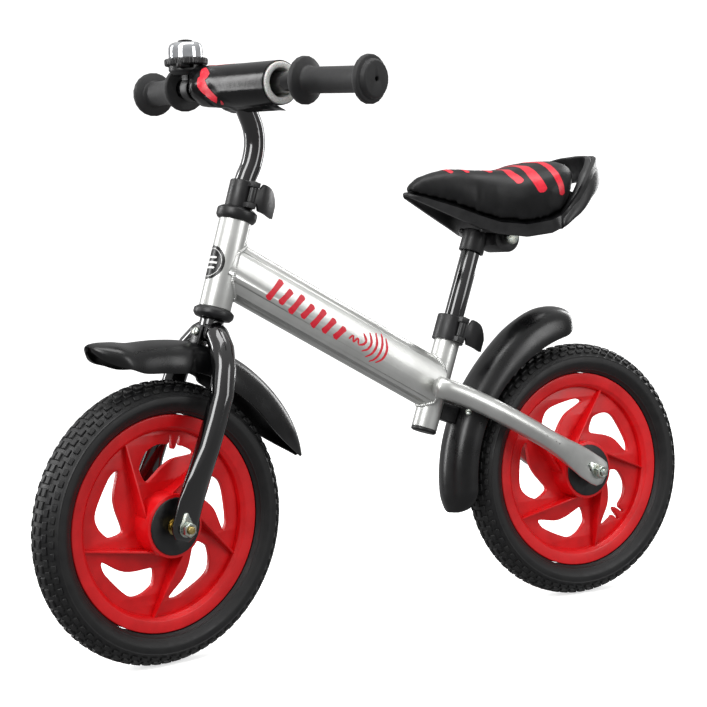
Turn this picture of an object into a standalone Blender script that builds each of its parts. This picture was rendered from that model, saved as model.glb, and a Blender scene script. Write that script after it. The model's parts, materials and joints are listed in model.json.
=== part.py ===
"""A child's balance bike: frame, turning fork and bar, two wheels, and a seat that slides.

Metres, +X forward, +Y to the rider's left, +Z up. The origin is on the ground, midway between
the two axles. The fork, bar and front wheel stand turned a little to the left.
"""

import math

import bmesh
import bpy
from mathutils import Matrix, Vector
from mathutils.geometry import interpolate_bezier

# Overall sizes
wheel_diameter = 0.295
wheelbase = 0.535
steer_turn = math.radians(9.8)      # how far the bar is turned to the left
gap = 0.0003                        # between pieces that touch

# Wheels
tyre_width = 0.044
tyre_edge_width = 0.0248            # where the tyre meets the rim
rim_radius = 0.113
rim_width = 0.0246
rim_lip = 0.0125
rim_lip_drop = 0.005
web_outer_radius = 0.0965
web_thickness = 0.006
hub_radius = 0.033
hub_half_length = 0.0265
hub_cap_radius = 0.030
hub_cap_thickness = 0.0018
window_count = 5
window_inner_radius = 0.0465
window_outer_radius = 0.0825
window_sweep = math.radians(57)
rib_thickness = 0.0022
rib_inner_height = 0.0235
rib_outer_height = 0.0075
rib_circle_radius = 0.0277          # the ribs are tangent to this circle
front_wheel_phase = math.radians(50)
rear_wheel_phase = math.radians(28)

# Axles and their fixings
axle_radius = 0.004
bearing_radius = 0.011
bearing_width = 0.007
axle_collar_radius = 0.0085
axle_half_length = 0.0575
plate_thickness = 0.005             # flattened ends of the fork legs and stays
plate_inner_y = 0.0410
nut_across_flats = 0.0135
nut_thickness = 0.0065
washer_thickness = 0.0015
washer_radius = 0.0085
washer_point = 0.0165

# Steering
head_angle = math.radians(17.8)
fork_offset = 0.0051                # front axle ahead of the steering axis
fork_space = 0.0430                 # from the tyre to the underside of the crown
crown_height = 0.0250
crown_depth = 0.031
crown_half_width = 0.0128
leg_radius = 0.0127
leg_spread = 0.046
leg_end_width = 0.015               # half the height of the flattened end
leg_end_drop = 0.0125
lower_cup_height = 0.0115
upper_cup_height = 0.0135
cup_radius = 0.0215
head_tube_length = 0.095
head_tube_radius = 0.017
head_tube_bore = 0.0152
steerer_radius = 0.0127
stem_radius = 0.0111
steerer_bore = stem_radius + 0.0004
stem_insertion = 0.095

# Collars with a thumb lever
collar_radius = 0.0148
collar_height = 0.0285
lug_height = 0.006
lug_reach = 0.0085
lever_pin_radius = 0.002
lever_knuckle_radius = 0.0042
lever_length = 0.043
lever_height = 0.029
lever_thickness = 0.0034

# Handlebar, measured along the steering axis and forward of it
bar_radius = 0.0111
bar_height_above_collar = 0.0935
bar_forward = 0.036
bar_rise = 0.0052
bar_sweep = 0.0211
bar_half_length = 0.1965
grip_inner_y = 0.1022
grip_length = 0.0905
grip_radius = 0.0134
grip_flange_radius = 0.0244
grip_flange_thickness = 0.0072
grip_end_radius = 0.0192
grip_end_thickness = 0.0058
grip_hole_radius = 0.0026
pad_left_y = 0.075
pad_right_y = -0.064
foam_radius = 0.0215
foam_clearance = 0.0011             # the foam slips over the bar
foam_bore = bar_radius + foam_clearance
cover_thickness = 0.0016

# Bell
bell_y = -0.083
bell_forward = 0.009
bell_radius = 0.0183
bell_height = 0.0175
bell_wall = 0.0009
bell_base_radius = 0.0186
bell_base_height = 0.0178
bell_lift = 0.0145                  # from the bar's centre to the underside of the base

# Frame
seat_angle = math.radians(20.7)
seat_tube_ahead = 0.2079            # its lower end, ahead of the rear axle
seat_tube_above = 0.0669            # and above it
seat_tube_length = 0.126
seat_tube_radius = 0.0145
down_tube_height = 0.058
tube_wall = 0.0018
down_tube_width = 0.036
down_tube_at_head = 0.0464          # along the head tube from its lower end
down_tube_at_seat = 0.0495          # along the seat tube from its lower end
stay_radius = 0.0117
stay_end_width = 0.0165
stay_end_reach = 0.0125

# Seat
seat_post_radius = 0.0111
seat_tube_bore = seat_post_radius + gap
seat_post_insertion = 0.064
seat_post_length = 0.166
saddle_scale = 1.0                  # stretches the saddle fore and aft
handle_start = 0.0748               # behind the post
handle_reach = 0.0800
handle_half_width = 0.0745
handle_thickness = 0.0046
saddle_wall = 0.0045
cushion_bulge = 0.25
rail_spread = 0.0205
rail_radius = 0.0030
clamp_behind = 0.0320               # from the post to the clamp's bolt
clamp_height = -0.0046
clamp_disc_radius = 0.0165
saddle_clearance = 0.0004

# Fenders
fender_thickness = 0.0024
fender_half_width = 0.0262
fender_gap = 0.0355                 # from the tyre to the fender's crest
screw_angle = math.radians(27)       # round the rear wheel from straight ahead
screw_lift = 0.0022                 # off the fender's middle surface
fender_side_gap = 0.0085            # from the tyre's radius to the fender's lower edges

wheel_radius = wheel_diameter / 2
half_base = wheelbase / 2
clamp_half_width = rail_spread - rail_radius - gap
crown_bottom = wheel_radius + fork_space
crown_top = crown_bottom + crown_height
head_bottom = crown_top + lower_cup_height
head_top = head_bottom + head_tube_length
collar_bottom = head_top + upper_cup_height
collar_top = collar_bottom + collar_height
bar_height = collar_top + bar_height_above_collar
nut_inner_y = plate_inner_y + plate_thickness + washer_thickness + 2 * gap


def clear_scene():
    for old in list(bpy.data.objects):
        bpy.data.objects.remove(old, do_unlink=True)


def new_collection(name):
    collection = bpy.data.collections.new(name)
    bpy.context.scene.collection.children.link(collection)
    return collection


def new_material(name, colour, roughness, metallic=0.0):
    made = bpy.data.materials.new(name)
    made.use_nodes = True
    shader = made.node_tree.nodes["Principled BSDF"]
    shader.inputs["Base Color"].default_value = (*colour, 1)
    shader.inputs["Roughness"].default_value = roughness
    shader.inputs["Metallic"].default_value = metallic
    return made


clear_scene()
parts = new_collection("balance_bike")
cutters = new_collection("cutters")
silver = new_material("silver_paint", (0.56, 0.56, 0.54), 0.35, 0.7)
gloss_black = new_material("gloss_black_steel", (0.008, 0.008, 0.009), 0.15)
black_plastic = new_material("satin_black_plastic", (0.014, 0.014, 0.015), 0.5)
black_rubber = new_material("black_rubber", (0.016, 0.016, 0.017), 0.75)
red_plastic = new_material("red_plastic", (0.62, 0.006, 0.012), 0.35)
zinc = new_material("zinc_plated_steel", (0.6, 0.6, 0.58), 0.3, 1.0)
chrome = new_material("chrome", (0.8, 0.8, 0.8), 0.08, 1.0)
grey_foam = new_material("grey_foam", (0.45, 0.45, 0.46), 0.9)
black_vinyl = new_material("black_vinyl", (0.01, 0.01, 0.011), 0.3)


def empty(name, place, parent=None):
    """A frame that pieces are modelled in: its origin and axes carry a joint's."""
    made = bpy.data.objects.new(name, None)
    parts.objects.link(made)
    made.parent = parent
    made.matrix_local = place
    return made


def turn_y(angle):
    return Matrix.Rotation(angle, 4, "Y")


def placed(x, y, z):
    return Matrix.Translation((x, y, z))


def add(name, mesh, frame, material, collection=None):
    made = bpy.data.objects.new(name, mesh)
    (collection or parts).objects.link(made)
    made.parent = frame
    if material:
        mesh.materials.append(material)
    return made


def smooth(made, degrees=35):
    made.data.shade_smooth()
    made.data.set_sharp_from_angle(angle=math.radians(degrees))
    return made


def polyline_mesh(name, points, closed):
    mesh = bpy.data.meshes.new(name)
    count = len(points)
    edges = [(i, i + 1) for i in range(count - 1)]
    if closed:
        edges.append((count - 1, 0))
    mesh.from_pydata(points, edges, [])
    return mesh


def turned(name, profile, frame, material, steps=24, place=None, collection=None):
    """A body of revolution about local Z. The (radius, height) profile runs down its outer side."""
    closed = profile[0][0] > 0
    mesh = polyline_mesh(name, [(r, 0, h) for r, h in profile], closed)
    made = add(name, mesh, frame, material, collection)
    made.matrix_local = place or Matrix()
    screw = made.modifiers.new("turn", "SCREW")
    screw.steps = screw.render_steps = steps
    screw.use_merge_vertices = True
    screw.merge_threshold = 0.00001
    screw.use_smooth_shade = True
    return made


def along_y(x=0, y=0, z=0):
    """Turns local Z to the frame's +Y, at a point."""
    return placed(x, y, z) @ Matrix.Rotation(-math.pi / 2, 4, "X")


def hide_as_cutter(made):
    made.hide_render = True
    made.display_type = "WIRE"
    return made


def boolean(made, other, operation):
    modifier = made.modifiers.new(operation.lower(), "BOOLEAN")
    modifier.operation = operation
    modifier.object = other
    modifier.solver = "EXACT"
    return made


def cut(made, cutter):
    return boolean(made, hide_as_cutter(cutter), "DIFFERENCE")


def join(made, other):
    return boolean(made, hide_as_cutter(other), "UNION")


def box(name, size, frame, place, collection=None, material=None):
    mesh = bpy.data.meshes.new(name)
    form = bmesh.new()
    bmesh.ops.create_cube(form, size=1)
    bmesh.ops.scale(form, vec=size, verts=form.verts)
    form.to_mesh(mesh)
    form.free()
    made = add(name, mesh, frame, material, collection or cutters)
    made.matrix_local = place
    return made


def rod(name, radius, low, high, frame, place, collection=None, material=None, sides=16):
    """A plain cylinder along local Z between two heights."""
    mesh = bpy.data.meshes.new(name)
    form = bmesh.new()
    bmesh.ops.create_cone(form, cap_ends=True, segments=sides, radius1=radius, radius2=radius,
                          depth=high - low)
    bmesh.ops.translate(form, vec=(0, 0, (high + low) / 2), verts=form.verts)
    form.to_mesh(mesh)
    form.free()
    made = add(name, mesh, frame, material, collection or cutters)
    made.matrix_local = place
    return made


def loft(name, rings, frame, material, collection=None):
    """A closed body through unlike sections, with flat caps on the first and last."""
    mesh = bpy.data.meshes.new(name)
    form = bmesh.new()
    made_rings = [[form.verts.new(p) for p in ring] for ring in rings]
    for lower, upper in zip(made_rings, made_rings[1:]):
        for i, corner in enumerate(lower):
            after = (i + 1) % len(lower)
            form.faces.new((corner, lower[after], upper[after], upper[i]))
    form.faces.new(made_rings[0][::-1])
    form.faces.new(made_rings[-1])
    bmesh.ops.recalc_face_normals(form, faces=form.faces)
    form.to_mesh(mesh)
    form.free()
    return smooth(add(name, mesh, frame, material, collection), 40)


def sheet(name, rows, thickness, frame, material):
    """An open surface through rows of points, thickened inwards and outwards alike."""
    mesh = bpy.data.meshes.new(name)
    form = bmesh.new()
    grid = [[form.verts.new(p) for p in row] for row in rows]
    for lower, upper in zip(grid, grid[1:]):
        for i in range(len(lower) - 1):
            form.faces.new((lower[i], lower[i + 1], upper[i + 1], upper[i]))
    bmesh.ops.recalc_face_normals(form, faces=form.faces)
    form.to_mesh(mesh)
    form.free()
    made = smooth(add(name, mesh, frame, material), 40)
    wall = made.modifiers.new("wall", "SOLIDIFY")
    wall.thickness = thickness
    wall.offset = 0
    wall.use_even_offset = True
    return made


def ellipse(centre, side, rise, half_side, half_rise, count=16, power=1.0):
    """Points of an oval about a centre; a power under 1 squares it off."""
    ring = []
    for i in range(count):
        angle = 2 * math.pi * i / count
        across, up = math.cos(angle), math.sin(angle)
        across = math.copysign(abs(across) ** power, across)
        up = math.copysign(abs(up) ** power, up)
        ring.append(centre + side * (half_side * across) + rise * (half_rise * up))
    return ring


def swept(name, stations, frame, material, count=16, side_hint=(0, 1, 0)):
    """A tube whose oval changes: each station is (centre, half width, half height, power)."""
    rings = []
    centres = [Vector(s[0]) for s in stations]
    for i, (centre, half_side, half_rise, power) in enumerate(stations):
        ahead = centres[min(i + 1, len(centres) - 1)] - centres[max(i - 1, 0)]
        ahead.normalize()
        side = Vector(side_hint)
        side = (side - ahead * side.dot(ahead)).normalized()
        rise = ahead.cross(side)
        rings.append(ellipse(Vector(centre), side, rise, half_side, half_rise, count, power))
    return loft(name, rings, frame, material)


def smooth_route(points, per_span):
    """A Catmull-Rom curve through the route's own points."""
    route = [Vector(p) for p in points]
    ends = [route[0] * 2 - route[1]] + route + [route[-1] * 2 - route[-2]]
    curve = []
    for i in range(1, len(ends) - 2):
        before, start, end, after = ends[i - 1 : i + 3]
        for step in range(per_span):
            t = step / per_span
            curve.append(0.5 * (2 * start + (end - before) * t
                                + (2 * before - 5 * start + 4 * end - after) * t * t
                                + (3 * start - before - 3 * end + after) * t ** 3))
    curve.append(route[-1])
    return curve


def tube(name, points, radius, frame, material, collection=None, resolution=3):
    curve = bpy.data.curves.new(name, "CURVE")
    curve.dimensions = "3D"
    curve.bevel_depth = radius
    curve.bevel_resolution = resolution
    curve.use_fill_caps = True
    spline = curve.splines.new("POLY")
    spline.points.add(len(points) - 1)
    for point, place in zip(spline.points, points):
        point.co = (*place, 1)
    if material:
        curve.materials.append(material)
    made = bpy.data.objects.new(name, curve)
    (collection or parts).objects.link(made)
    made.parent = frame
    return made


def as_mesh(curve_object):
    """The curve object made a mesh with welded caps, in the same place."""
    bpy.context.view_layer.update()
    graph = bpy.context.evaluated_depsgraph_get()
    mesh = bpy.data.meshes.new_from_object(curve_object.evaluated_get(graph))
    form = bmesh.new()
    form.from_mesh(mesh)
    bmesh.ops.remove_doubles(form, verts=form.verts, dist=0.00001)
    form.to_mesh(mesh)
    form.free()
    name, frame = curve_object.name, curve_object.parent
    collection = curve_object.users_collection[0]
    bpy.data.objects.remove(curve_object, do_unlink=True)
    made = bpy.data.objects.new(name, mesh)
    collection.objects.link(made)
    made.parent = frame
    return made


def outline_plate(name, points, thickness, frame, place, material, collection=None):
    """A flat outline in local XY, extruded by half its thickness each way."""
    curve = bpy.data.curves.new(name, "CURVE")
    curve.dimensions = "2D"
    curve.fill_mode = "BOTH"
    curve.extrude = thickness / 2
    spline = curve.splines.new("POLY")
    spline.points.add(len(points) - 1)
    for point, (x, y) in zip(spline.points, points):
        point.co = (x, y, 0, 1)
    spline.use_cyclic_u = True
    made = bpy.data.objects.new(name, curve)
    (collection or parts).objects.link(made)
    made.parent = frame
    if material:
        curve.materials.append(material)
    made = as_mesh(made)
    made.matrix_local = place
    return made


# Frames: the steering axis, the two wheels, the seat tube
head_frame = empty("head_frame", placed(half_base - fork_offset / math.cos(head_angle), 0, wheel_radius)
                   @ turn_y(-head_angle))
steering = empty("steering_axis", Matrix.Rotation(steer_turn, 4, "Z"), head_frame)
axle_drop = -fork_offset * math.tan(head_angle)
front_hub = empty("front_hub", placed(fork_offset, 0, axle_drop) @ turn_y(head_angle), steering)
rear_hub = empty("rear_hub", placed(-half_base, 0, wheel_radius))
seat_foot = Vector((seat_tube_ahead - half_base, 0, wheel_radius + seat_tube_above))
seat_frame = empty("seat_tube_axis", Matrix.Translation(seat_foot) @ turn_y(-seat_angle))
bar_frame = empty("bar_frame", Matrix(), steering)
seat_post_top = seat_tube_length - seat_post_insertion + seat_post_length
saddle_frame = empty("saddle_frame", placed(0, 0, seat_post_top) @ turn_y(seat_angle), seat_frame)


def on_steering(forward, across, along):
    return Vector((forward, across, along))


def window_outline():
    """One swirl window, as points in the plane of the wheel."""
    tip, base = 0.0, -window_sweep
    middle = (window_inner_radius + window_outer_radius) / 2
    route = [
        (window_outer_radius - 0.0035, tip),
        (window_outer_radius - 0.0005, tip - 0.045),
        (window_outer_radius, tip - 0.20),
        (window_outer_radius, tip - 0.60),
        (window_outer_radius - 0.0045, tip - 0.79),
        (middle + 0.0025, base + 0.035),
        (middle - 0.0060, base),
        (window_inner_radius + 0.0025, base + 0.025),
        (window_inner_radius, base + 0.115),
        (window_inner_radius + 0.0035, base + 0.29),
        (middle - 0.0065, base + 0.50),
        (middle + 0.0015, base + 0.69),
        (window_outer_radius - 0.0080, tip - 0.065),
    ]
    flat = [(r * math.cos(a), r * math.sin(a), 0) for r, a in route]
    loop = smooth_route(flat + flat[:1], 2)[:-1]
    return [(p.x, p.y) for p in loop]


def rim(name, hub, phase):
    """The moulded wheel: hub barrel, web with swirl windows and ribs, and the outer ring."""
    half_rim, half_web = rim_width / 2, web_thickness / 2
    side = [
        (rim_radius - 0.0008, half_rim),
        (rim_radius, half_rim - 0.0012),
    ]
    lower = [
        (rim_radius - rim_lip, -half_rim + 0.0008),
        (web_outer_radius, -half_rim + rim_lip_drop),
        (web_outer_radius - 0.0006, -half_web),
        (hub_radius, -half_web),
        (hub_radius, -hub_half_length),
        (bearing_radius + gap, -hub_half_length),
    ]
    profile = side + [(r, -h) for r, h in reversed(side)] + lower
    profile += [(r, -h) for r, h in reversed(lower)]
    place = along_y()
    made = turned(name, profile, hub, red_plastic, 48, place)
    step = 2 * math.pi / window_count
    outline = window_outline()
    for i in range(window_count):
        # Local X and Y of the wheel's own frame are +X and -Z of the bike.
        spin = Matrix.Rotation(-(phase + i * step), 4, "Z")
        mirrored = [(x, -y) for x, y in outline]
        cutter = outline_plate(f"{name}_window_{i}", mirrored, 4 * web_thickness, hub,
                               place @ spin, None, cutters)
        cut(made, cutter)
    foot_lag = math.acos(rib_circle_radius / web_outer_radius)
    for i in range(window_count):
        # Each rib ends on the ring a little past a window's tip.
        end_angle = phase + i * step + math.radians(13)
        foot = end_angle - foot_lag
        length = web_outer_radius * math.sin(foot_lag)
        for face in (1, -1):
            rings = []
            for reach, height in ((0.0, rib_inner_height), (length + 0.002, rib_outer_height)):
                ring = []
                for across, up in ((-1, 0), (1, 0), (1, 1), (-1, 1)):
                    away = rib_circle_radius + across * rib_thickness / 2
                    x = away * math.cos(foot) - reach * math.sin(foot)
                    z = away * math.sin(foot) + reach * math.cos(foot)
                    ring.append(Vector((x, face * up * height, z)))
                rings.append(ring)
            rib = loft(f"{name}_rib_{i}_{face}", rings, hub, None, cutters)
            join(made, rib)
    return made


def tyre(name, hub):
    """The foamed tyre, out to the tops of its tread blocks."""
    half = tyre_width / 2
    seat = rim_radius + gap
    profile = [
        (seat + 0.0006, tyre_edge_width / 2),
        (seat + 0.007, half - 0.0030),
        (seat + 0.014, half),
        (wheel_radius - 0.012, half - 0.0012),
        (wheel_radius - 0.0055, half - 0.0065),
        (wheel_radius - 0.0012, 0.0085),
        (wheel_radius, 0.0),
    ]
    profile += [(r, -h) for r, h in reversed(profile[:-1])]
    profile += [(seat, 0.4 * -tyre_edge_width), (seat, 0.4 * tyre_edge_width)]
    return turned(name, profile, hub, black_rubber, 48, along_y())


def hub_parts(prefix, hub):
    """On each side a bearing in the barrel and a cap over it."""
    hole = axle_collar_radius + 0.001
    for word, way in (("left", 1), ("right", -1)):
        inner = hub_half_length - bearing_width
        bearing = [
            (bearing_radius, hub_half_length - gap),
            (bearing_radius, inner),
            (axle_radius + gap, inner),
            (axle_radius + gap, hub_half_length - gap),
        ]
        base = hub_half_length + gap
        cap = [
            (hub_cap_radius - 0.0008, base + hub_cap_thickness),
            (hub_cap_radius, base + hub_cap_thickness - 0.0008),
            (hub_cap_radius, base),
            (hole, base),
            (hole, base + hub_cap_thickness),
        ]
        face = along_y() if way > 0 else Matrix.Rotation(math.pi, 4, "Z") @ along_y()
        turned(f"{prefix}_bearing_{word}", bearing, hub, zinc, 16, face)
        turned(f"{prefix}_hub_cap_{word}", cap, hub, black_plastic, 28, face)


def axle_set(prefix, hub, washer_turn):
    """The threaded axle with its cone collars, a shaped washer and a nut on each side."""
    collar_in = hub_half_length + 0.0022
    collar_out = plate_inner_y - gap
    half = [
        (0, axle_half_length),
        (axle_radius - 0.0006, axle_half_length),
        (axle_radius, axle_half_length - 0.0006),
        (axle_radius, collar_out),
        (axle_collar_radius, collar_out),
        (axle_collar_radius, collar_in + 0.004),
        (axle_radius + 0.0012, collar_in),
        (axle_radius, collar_in),
    ]
    turned(f"{prefix}_axle", half + [(r, -h) for r, h in reversed(half)], hub, zinc, 14, along_y())
    washer_y = plate_inner_y + plate_thickness + gap + washer_thickness / 2
    drop = [(0.0022, washer_point), (-0.0022, washer_point)]
    for i in range(15):
        angle = math.radians(155 + i * 230 / 14)
        drop.append((washer_radius * math.cos(angle), washer_radius * math.sin(angle)))
    for word, way in (("left", 1), ("right", -1)):
        # Local X, Y, Z become the bike's X, Z and outwards, then the point is swung round.
        stand = Matrix(((1, 0, 0, 0), (0, 0, -1, way * washer_y), (0, 1, 0, 0), (0, 0, 0, 1)))
        swing = Matrix.Rotation(washer_turn, 4, "Y")
        washer = outline_plate(f"{prefix}_washer_{word}", drop, washer_thickness, hub,
                               swing @ stand, zinc)
        hole = rod(f"{prefix}_washer_hole_{word}", axle_radius + gap, -0.02, 0.02, hub,
                   along_y(0, way * washer_y, 0))
        cut(washer, hole)
        nut_y = nut_inner_y + nut_thickness / 2
        mesh = bpy.data.meshes.new(f"{prefix}_axle_nut_{word}")
        form = bmesh.new()
        bmesh.ops.create_cone(form, cap_ends=True, segments=6, depth=nut_thickness,
                              radius1=nut_across_flats / math.sqrt(3),
                              radius2=nut_across_flats / math.sqrt(3))
        form.to_mesh(mesh)
        form.free()
        nut = add(f"{prefix}_axle_nut_{word}", mesh, hub, zinc)
        nut.matrix_local = along_y(0, way * nut_y, 0)
        cut(nut, rod(f"{prefix}_nut_hole_{word}", axle_radius + gap, -0.02, 0.02, hub,
                     along_y(0, way * nut_y, 0)))


def wheel(prefix, hub, phase, washer_turn):
    tyre(f"{prefix}_tyre", hub)
    rim(f"{prefix}_rim", hub, phase)
    hub_parts(prefix, hub)
    axle_set(prefix, hub, washer_turn)


def ring_profile(outer, inner, low, high, round_by=0.0008):
    return [(outer - round_by, high), (outer, high - round_by), (outer, low + round_by),
            (outer - round_by, low), (inner, low), (inner, high)]


def head_set():
    turned("head_tube", ring_profile(head_tube_radius, head_tube_bore, head_bottom + gap,
                                     head_top - gap, 0.0003), head_frame, silver, 32)
    bore = steerer_radius + gap
    lower = [(head_tube_radius + 0.001, head_bottom), (cup_radius, head_bottom - 0.003),
             (cup_radius, crown_top + 0.004), (cup_radius - 0.003, crown_top + gap),
             (bore, crown_top + gap), (bore, head_bottom)]
    turned("lower_headset_cup", lower, head_frame, black_plastic, 24)
    cup_top = collar_bottom - gap
    upper = [(cup_radius - 0.004, cup_top), (cup_radius, cup_top - 0.003),
             (cup_radius, head_top + 0.0035), (cup_radius - 0.002, head_top),
             (bore, head_top), (bore, cup_top)]
    turned("upper_headset_cup", upper, head_frame, black_plastic, 24)


def fork():
    """Crown with its hollow steerer, and two legs that bow out and end in flat plates."""
    foot = crown_bottom + 0.006
    steerer = [(steerer_radius, collar_top - 0.0035), (steerer_radius, foot),
               (steerer_bore, foot), (steerer_bore, collar_top - 0.0035)]
    made = turned("fork_crown", steerer, steering, gloss_black, 28)
    block = box("crown_block", (crown_depth - 0.004, 2 * crown_half_width, crown_height - 0.006),
                steering, placed(0, 0, crown_bottom + crown_height / 2 - 0.0029))
    bevel = block.modifiers.new("round", "BEVEL")
    bevel.width = 0.006
    bevel.segments = 2
    join(made, block)
    spread = leg_spread
    for word, way in (("left", 1), ("right", -1)):
        axle = on_steering(fork_offset, 0, axle_drop)
        route = [
            (0.000, 0.0060, crown_bottom + 0.0118, leg_radius, leg_radius, 1.0),
            (0.000, 0.0150, crown_bottom + 0.0080, leg_radius, leg_radius, 1.0),
            (0.000, 0.0290, crown_bottom - 0.0050, leg_radius, leg_radius, 1.0),
            (0.000, spread - 0.0055, crown_bottom - 0.0265, leg_radius, leg_radius, 1.0),
            (-0.001, spread - 0.0008, crown_bottom - 0.0525, leg_radius, leg_radius, 1.0),
            (0.000, spread, crown_bottom - 0.0775, leg_radius, leg_radius, 1.0),
            (0.002, spread, crown_bottom - 0.1085, leg_radius, leg_radius, 1.0),
            (0.0035, spread - 0.0002, crown_bottom - 0.1275, 0.0110, 0.0132, 1.0),
            (0.0045, spread - 0.0014, crown_bottom - 0.1465, 0.0065, 0.0146, 0.8),
        ]
        plate_y = plate_inner_y + plate_thickness / 2
        stations = [(on_steering(f, way * y, s), a, b, p) for f, y, s, a, b, p in route]
        half_plate = plate_thickness / 2
        for back, width in ((0.026, 1.0), (0.0, 1.0), (-0.006, 0.92), (-leg_end_drop, 0.55)):
            centre = on_steering(axle.x, way * plate_y, axle.z + back)
            stations.append((centre, half_plate, leg_end_width * width, 0.5))
        leg = swept(f"fork_leg_{word}", stations, steering, gloss_black, 16)
        cut(leg, box(f"leg_trim_{word}", (0.1, 2 * (crown_half_width + gap), 0.1), steering,
                     placed(0, 0, crown_bottom + 0.01)))
        cut(leg, rod(f"leg_hole_{word}", axle_radius + gap, -0.02, 0.02, steering,
                     along_y(axle.x, way * plate_y, axle.z)))


def stem_route():
    low = collar_top - stem_insertion
    return [
        on_steering(0, 0, low),
        on_steering(0, 0, collar_top - 0.04),
        on_steering(0, 0, collar_top),
        on_steering(-0.0032, 0, collar_top + 0.0190),
        on_steering(-0.0024, 0, collar_top + 0.0390),
        on_steering(0.0046, 0, collar_top + 0.0570),
        on_steering(0.0180, 0, collar_top + 0.0725),
        on_steering(bar_forward - 0.0095, 0, bar_height - 0.0115),
    ]


def bar_point(across):
    """The bar's centre at a distance across: straight in the middle, then up and swept back."""
    away = abs(across)
    bend = min(max((away - 0.072) / 0.028, 0.0), 1.0)
    ease = bend * bend * (3 - 2 * bend)
    past = max(away - 0.100, 0.0) / (bar_half_length - 0.100)
    forward = bar_forward - bar_sweep * (0.2 * ease + 0.8 * past)
    return on_steering(forward, across, bar_height + bar_rise * (0.5 * ease + 0.5 * past))


def grip(name, way):
    """A turned rubber grip with a flange at each end and a boss on its outer face."""
    start, end = bar_point(way * grip_inner_y), bar_point(way * (grip_inner_y + grip_length))
    ahead = (end - start).normalized()
    turn = Vector((0, 0, 1)).rotation_difference(ahead).to_matrix().to_4x4()
    flange, inner_r, bore = grip_flange_radius, grip_radius, bar_radius + gap
    top = grip_length
    thick = grip_flange_thickness
    profile = [
        (grip_hole_radius, top + grip_end_thickness),
        (grip_end_radius - 0.0015, top + grip_end_thickness),
        (grip_end_radius, top + grip_end_thickness - 0.0015),
        (grip_end_radius + 0.0005, top),
        (flange - 0.0012, top),
        (flange, top - 0.0015),
        (flange, top - thick + 0.0015),
        (flange - 0.0015, top - thick),
        (inner_r + 0.0015, top - thick - 0.0015),
        (inner_r, top - thick - 0.005),
        (inner_r, thick + 0.005),
        (inner_r + 0.0015, thick + 0.0015),
        (flange - 0.0015, thick),
        (flange, thick - 0.0015),
        (flange, 0.0015),
        (flange - 0.0015, 0),
        (bore, 0),
        (bore, top - 0.001),
        (grip_hole_radius, top - 0.001),
    ]
    made = turned(name, profile, bar_frame, black_rubber, 20, Matrix.Translation(start) @ turn)
    return made


def bar_tube():
    """The bar stops inside the grips, short of the hole in their ends."""
    stop = grip_inner_y + grip_length - 0.0060
    count = 28
    points = [bar_point(-stop + 2 * stop * i / count) for i in range(count + 1)]
    return as_mesh(tube("handlebar_bar", points, bar_radius, bar_frame, gloss_black, None, 3))


def handlebar():
    stem = as_mesh(tube("handlebar_stem", smooth_route(stem_route(), 3), stem_radius, bar_frame,
                        gloss_black, None, 3))
    smooth(stem)
    bar = smooth(bar_tube())
    around_bar = hide_as_cutter(as_mesh(tube("bar_clearance", [
        bar_point(-0.03), bar_point(0), bar_point(0.03)], bar_radius + gap, bar_frame, None, cutters, 4)))
    cut(stem, around_bar)
    for word, way in (("left", 1), ("right", -1)):
        grip(f"{word}_grip", way)
    return bar


def pad():
    """A foam sleeve on the middle of the bar inside a vinyl cover, both slit for the stem."""
    centre = bar_point(0)
    length = pad_left_y - pad_right_y
    lie = Matrix.Translation((centre.x, pad_right_y, centre.z)) @ Matrix.Rotation(-math.pi / 2, 4, "X")
    foam = turned("pad_foam", ring_profile(foam_radius, foam_bore, 0, length, 0.001), bar_frame,
                  grey_foam, 28, lie)
    inner = foam_radius + gap
    cover = turned("pad_cover", ring_profile(inner + cover_thickness, inner, 0.002, length - 0.002,
                                             0.0004), bar_frame, black_vinyl, 28, lie)
    slit = as_mesh(tube("stem_clearance", smooth_route(stem_route()[3:] + [bar_point(0)], 2),
                        stem_radius + 0.0012, bar_frame, None, cutters, 3))
    cut(foam, slit)
    cut(cover, slit)


def lever_route(outer_radius):
    """The lever's centreline in plan, from its knuckle back round the collar."""
    reach = outer_radius + lug_reach - 0.004
    return [
        Vector((0, reach, 0)),
        Vector((-0.006, reach + 0.0022, 0)),
        Vector((-0.014, reach + 0.0012, 0)),
        Vector((-0.023, reach - 0.0022, 0)),
        Vector((-0.031, reach - 0.0075, 0)),
        Vector((-lever_length + 0.003, reach - 0.0135, 0)),
    ]


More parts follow.
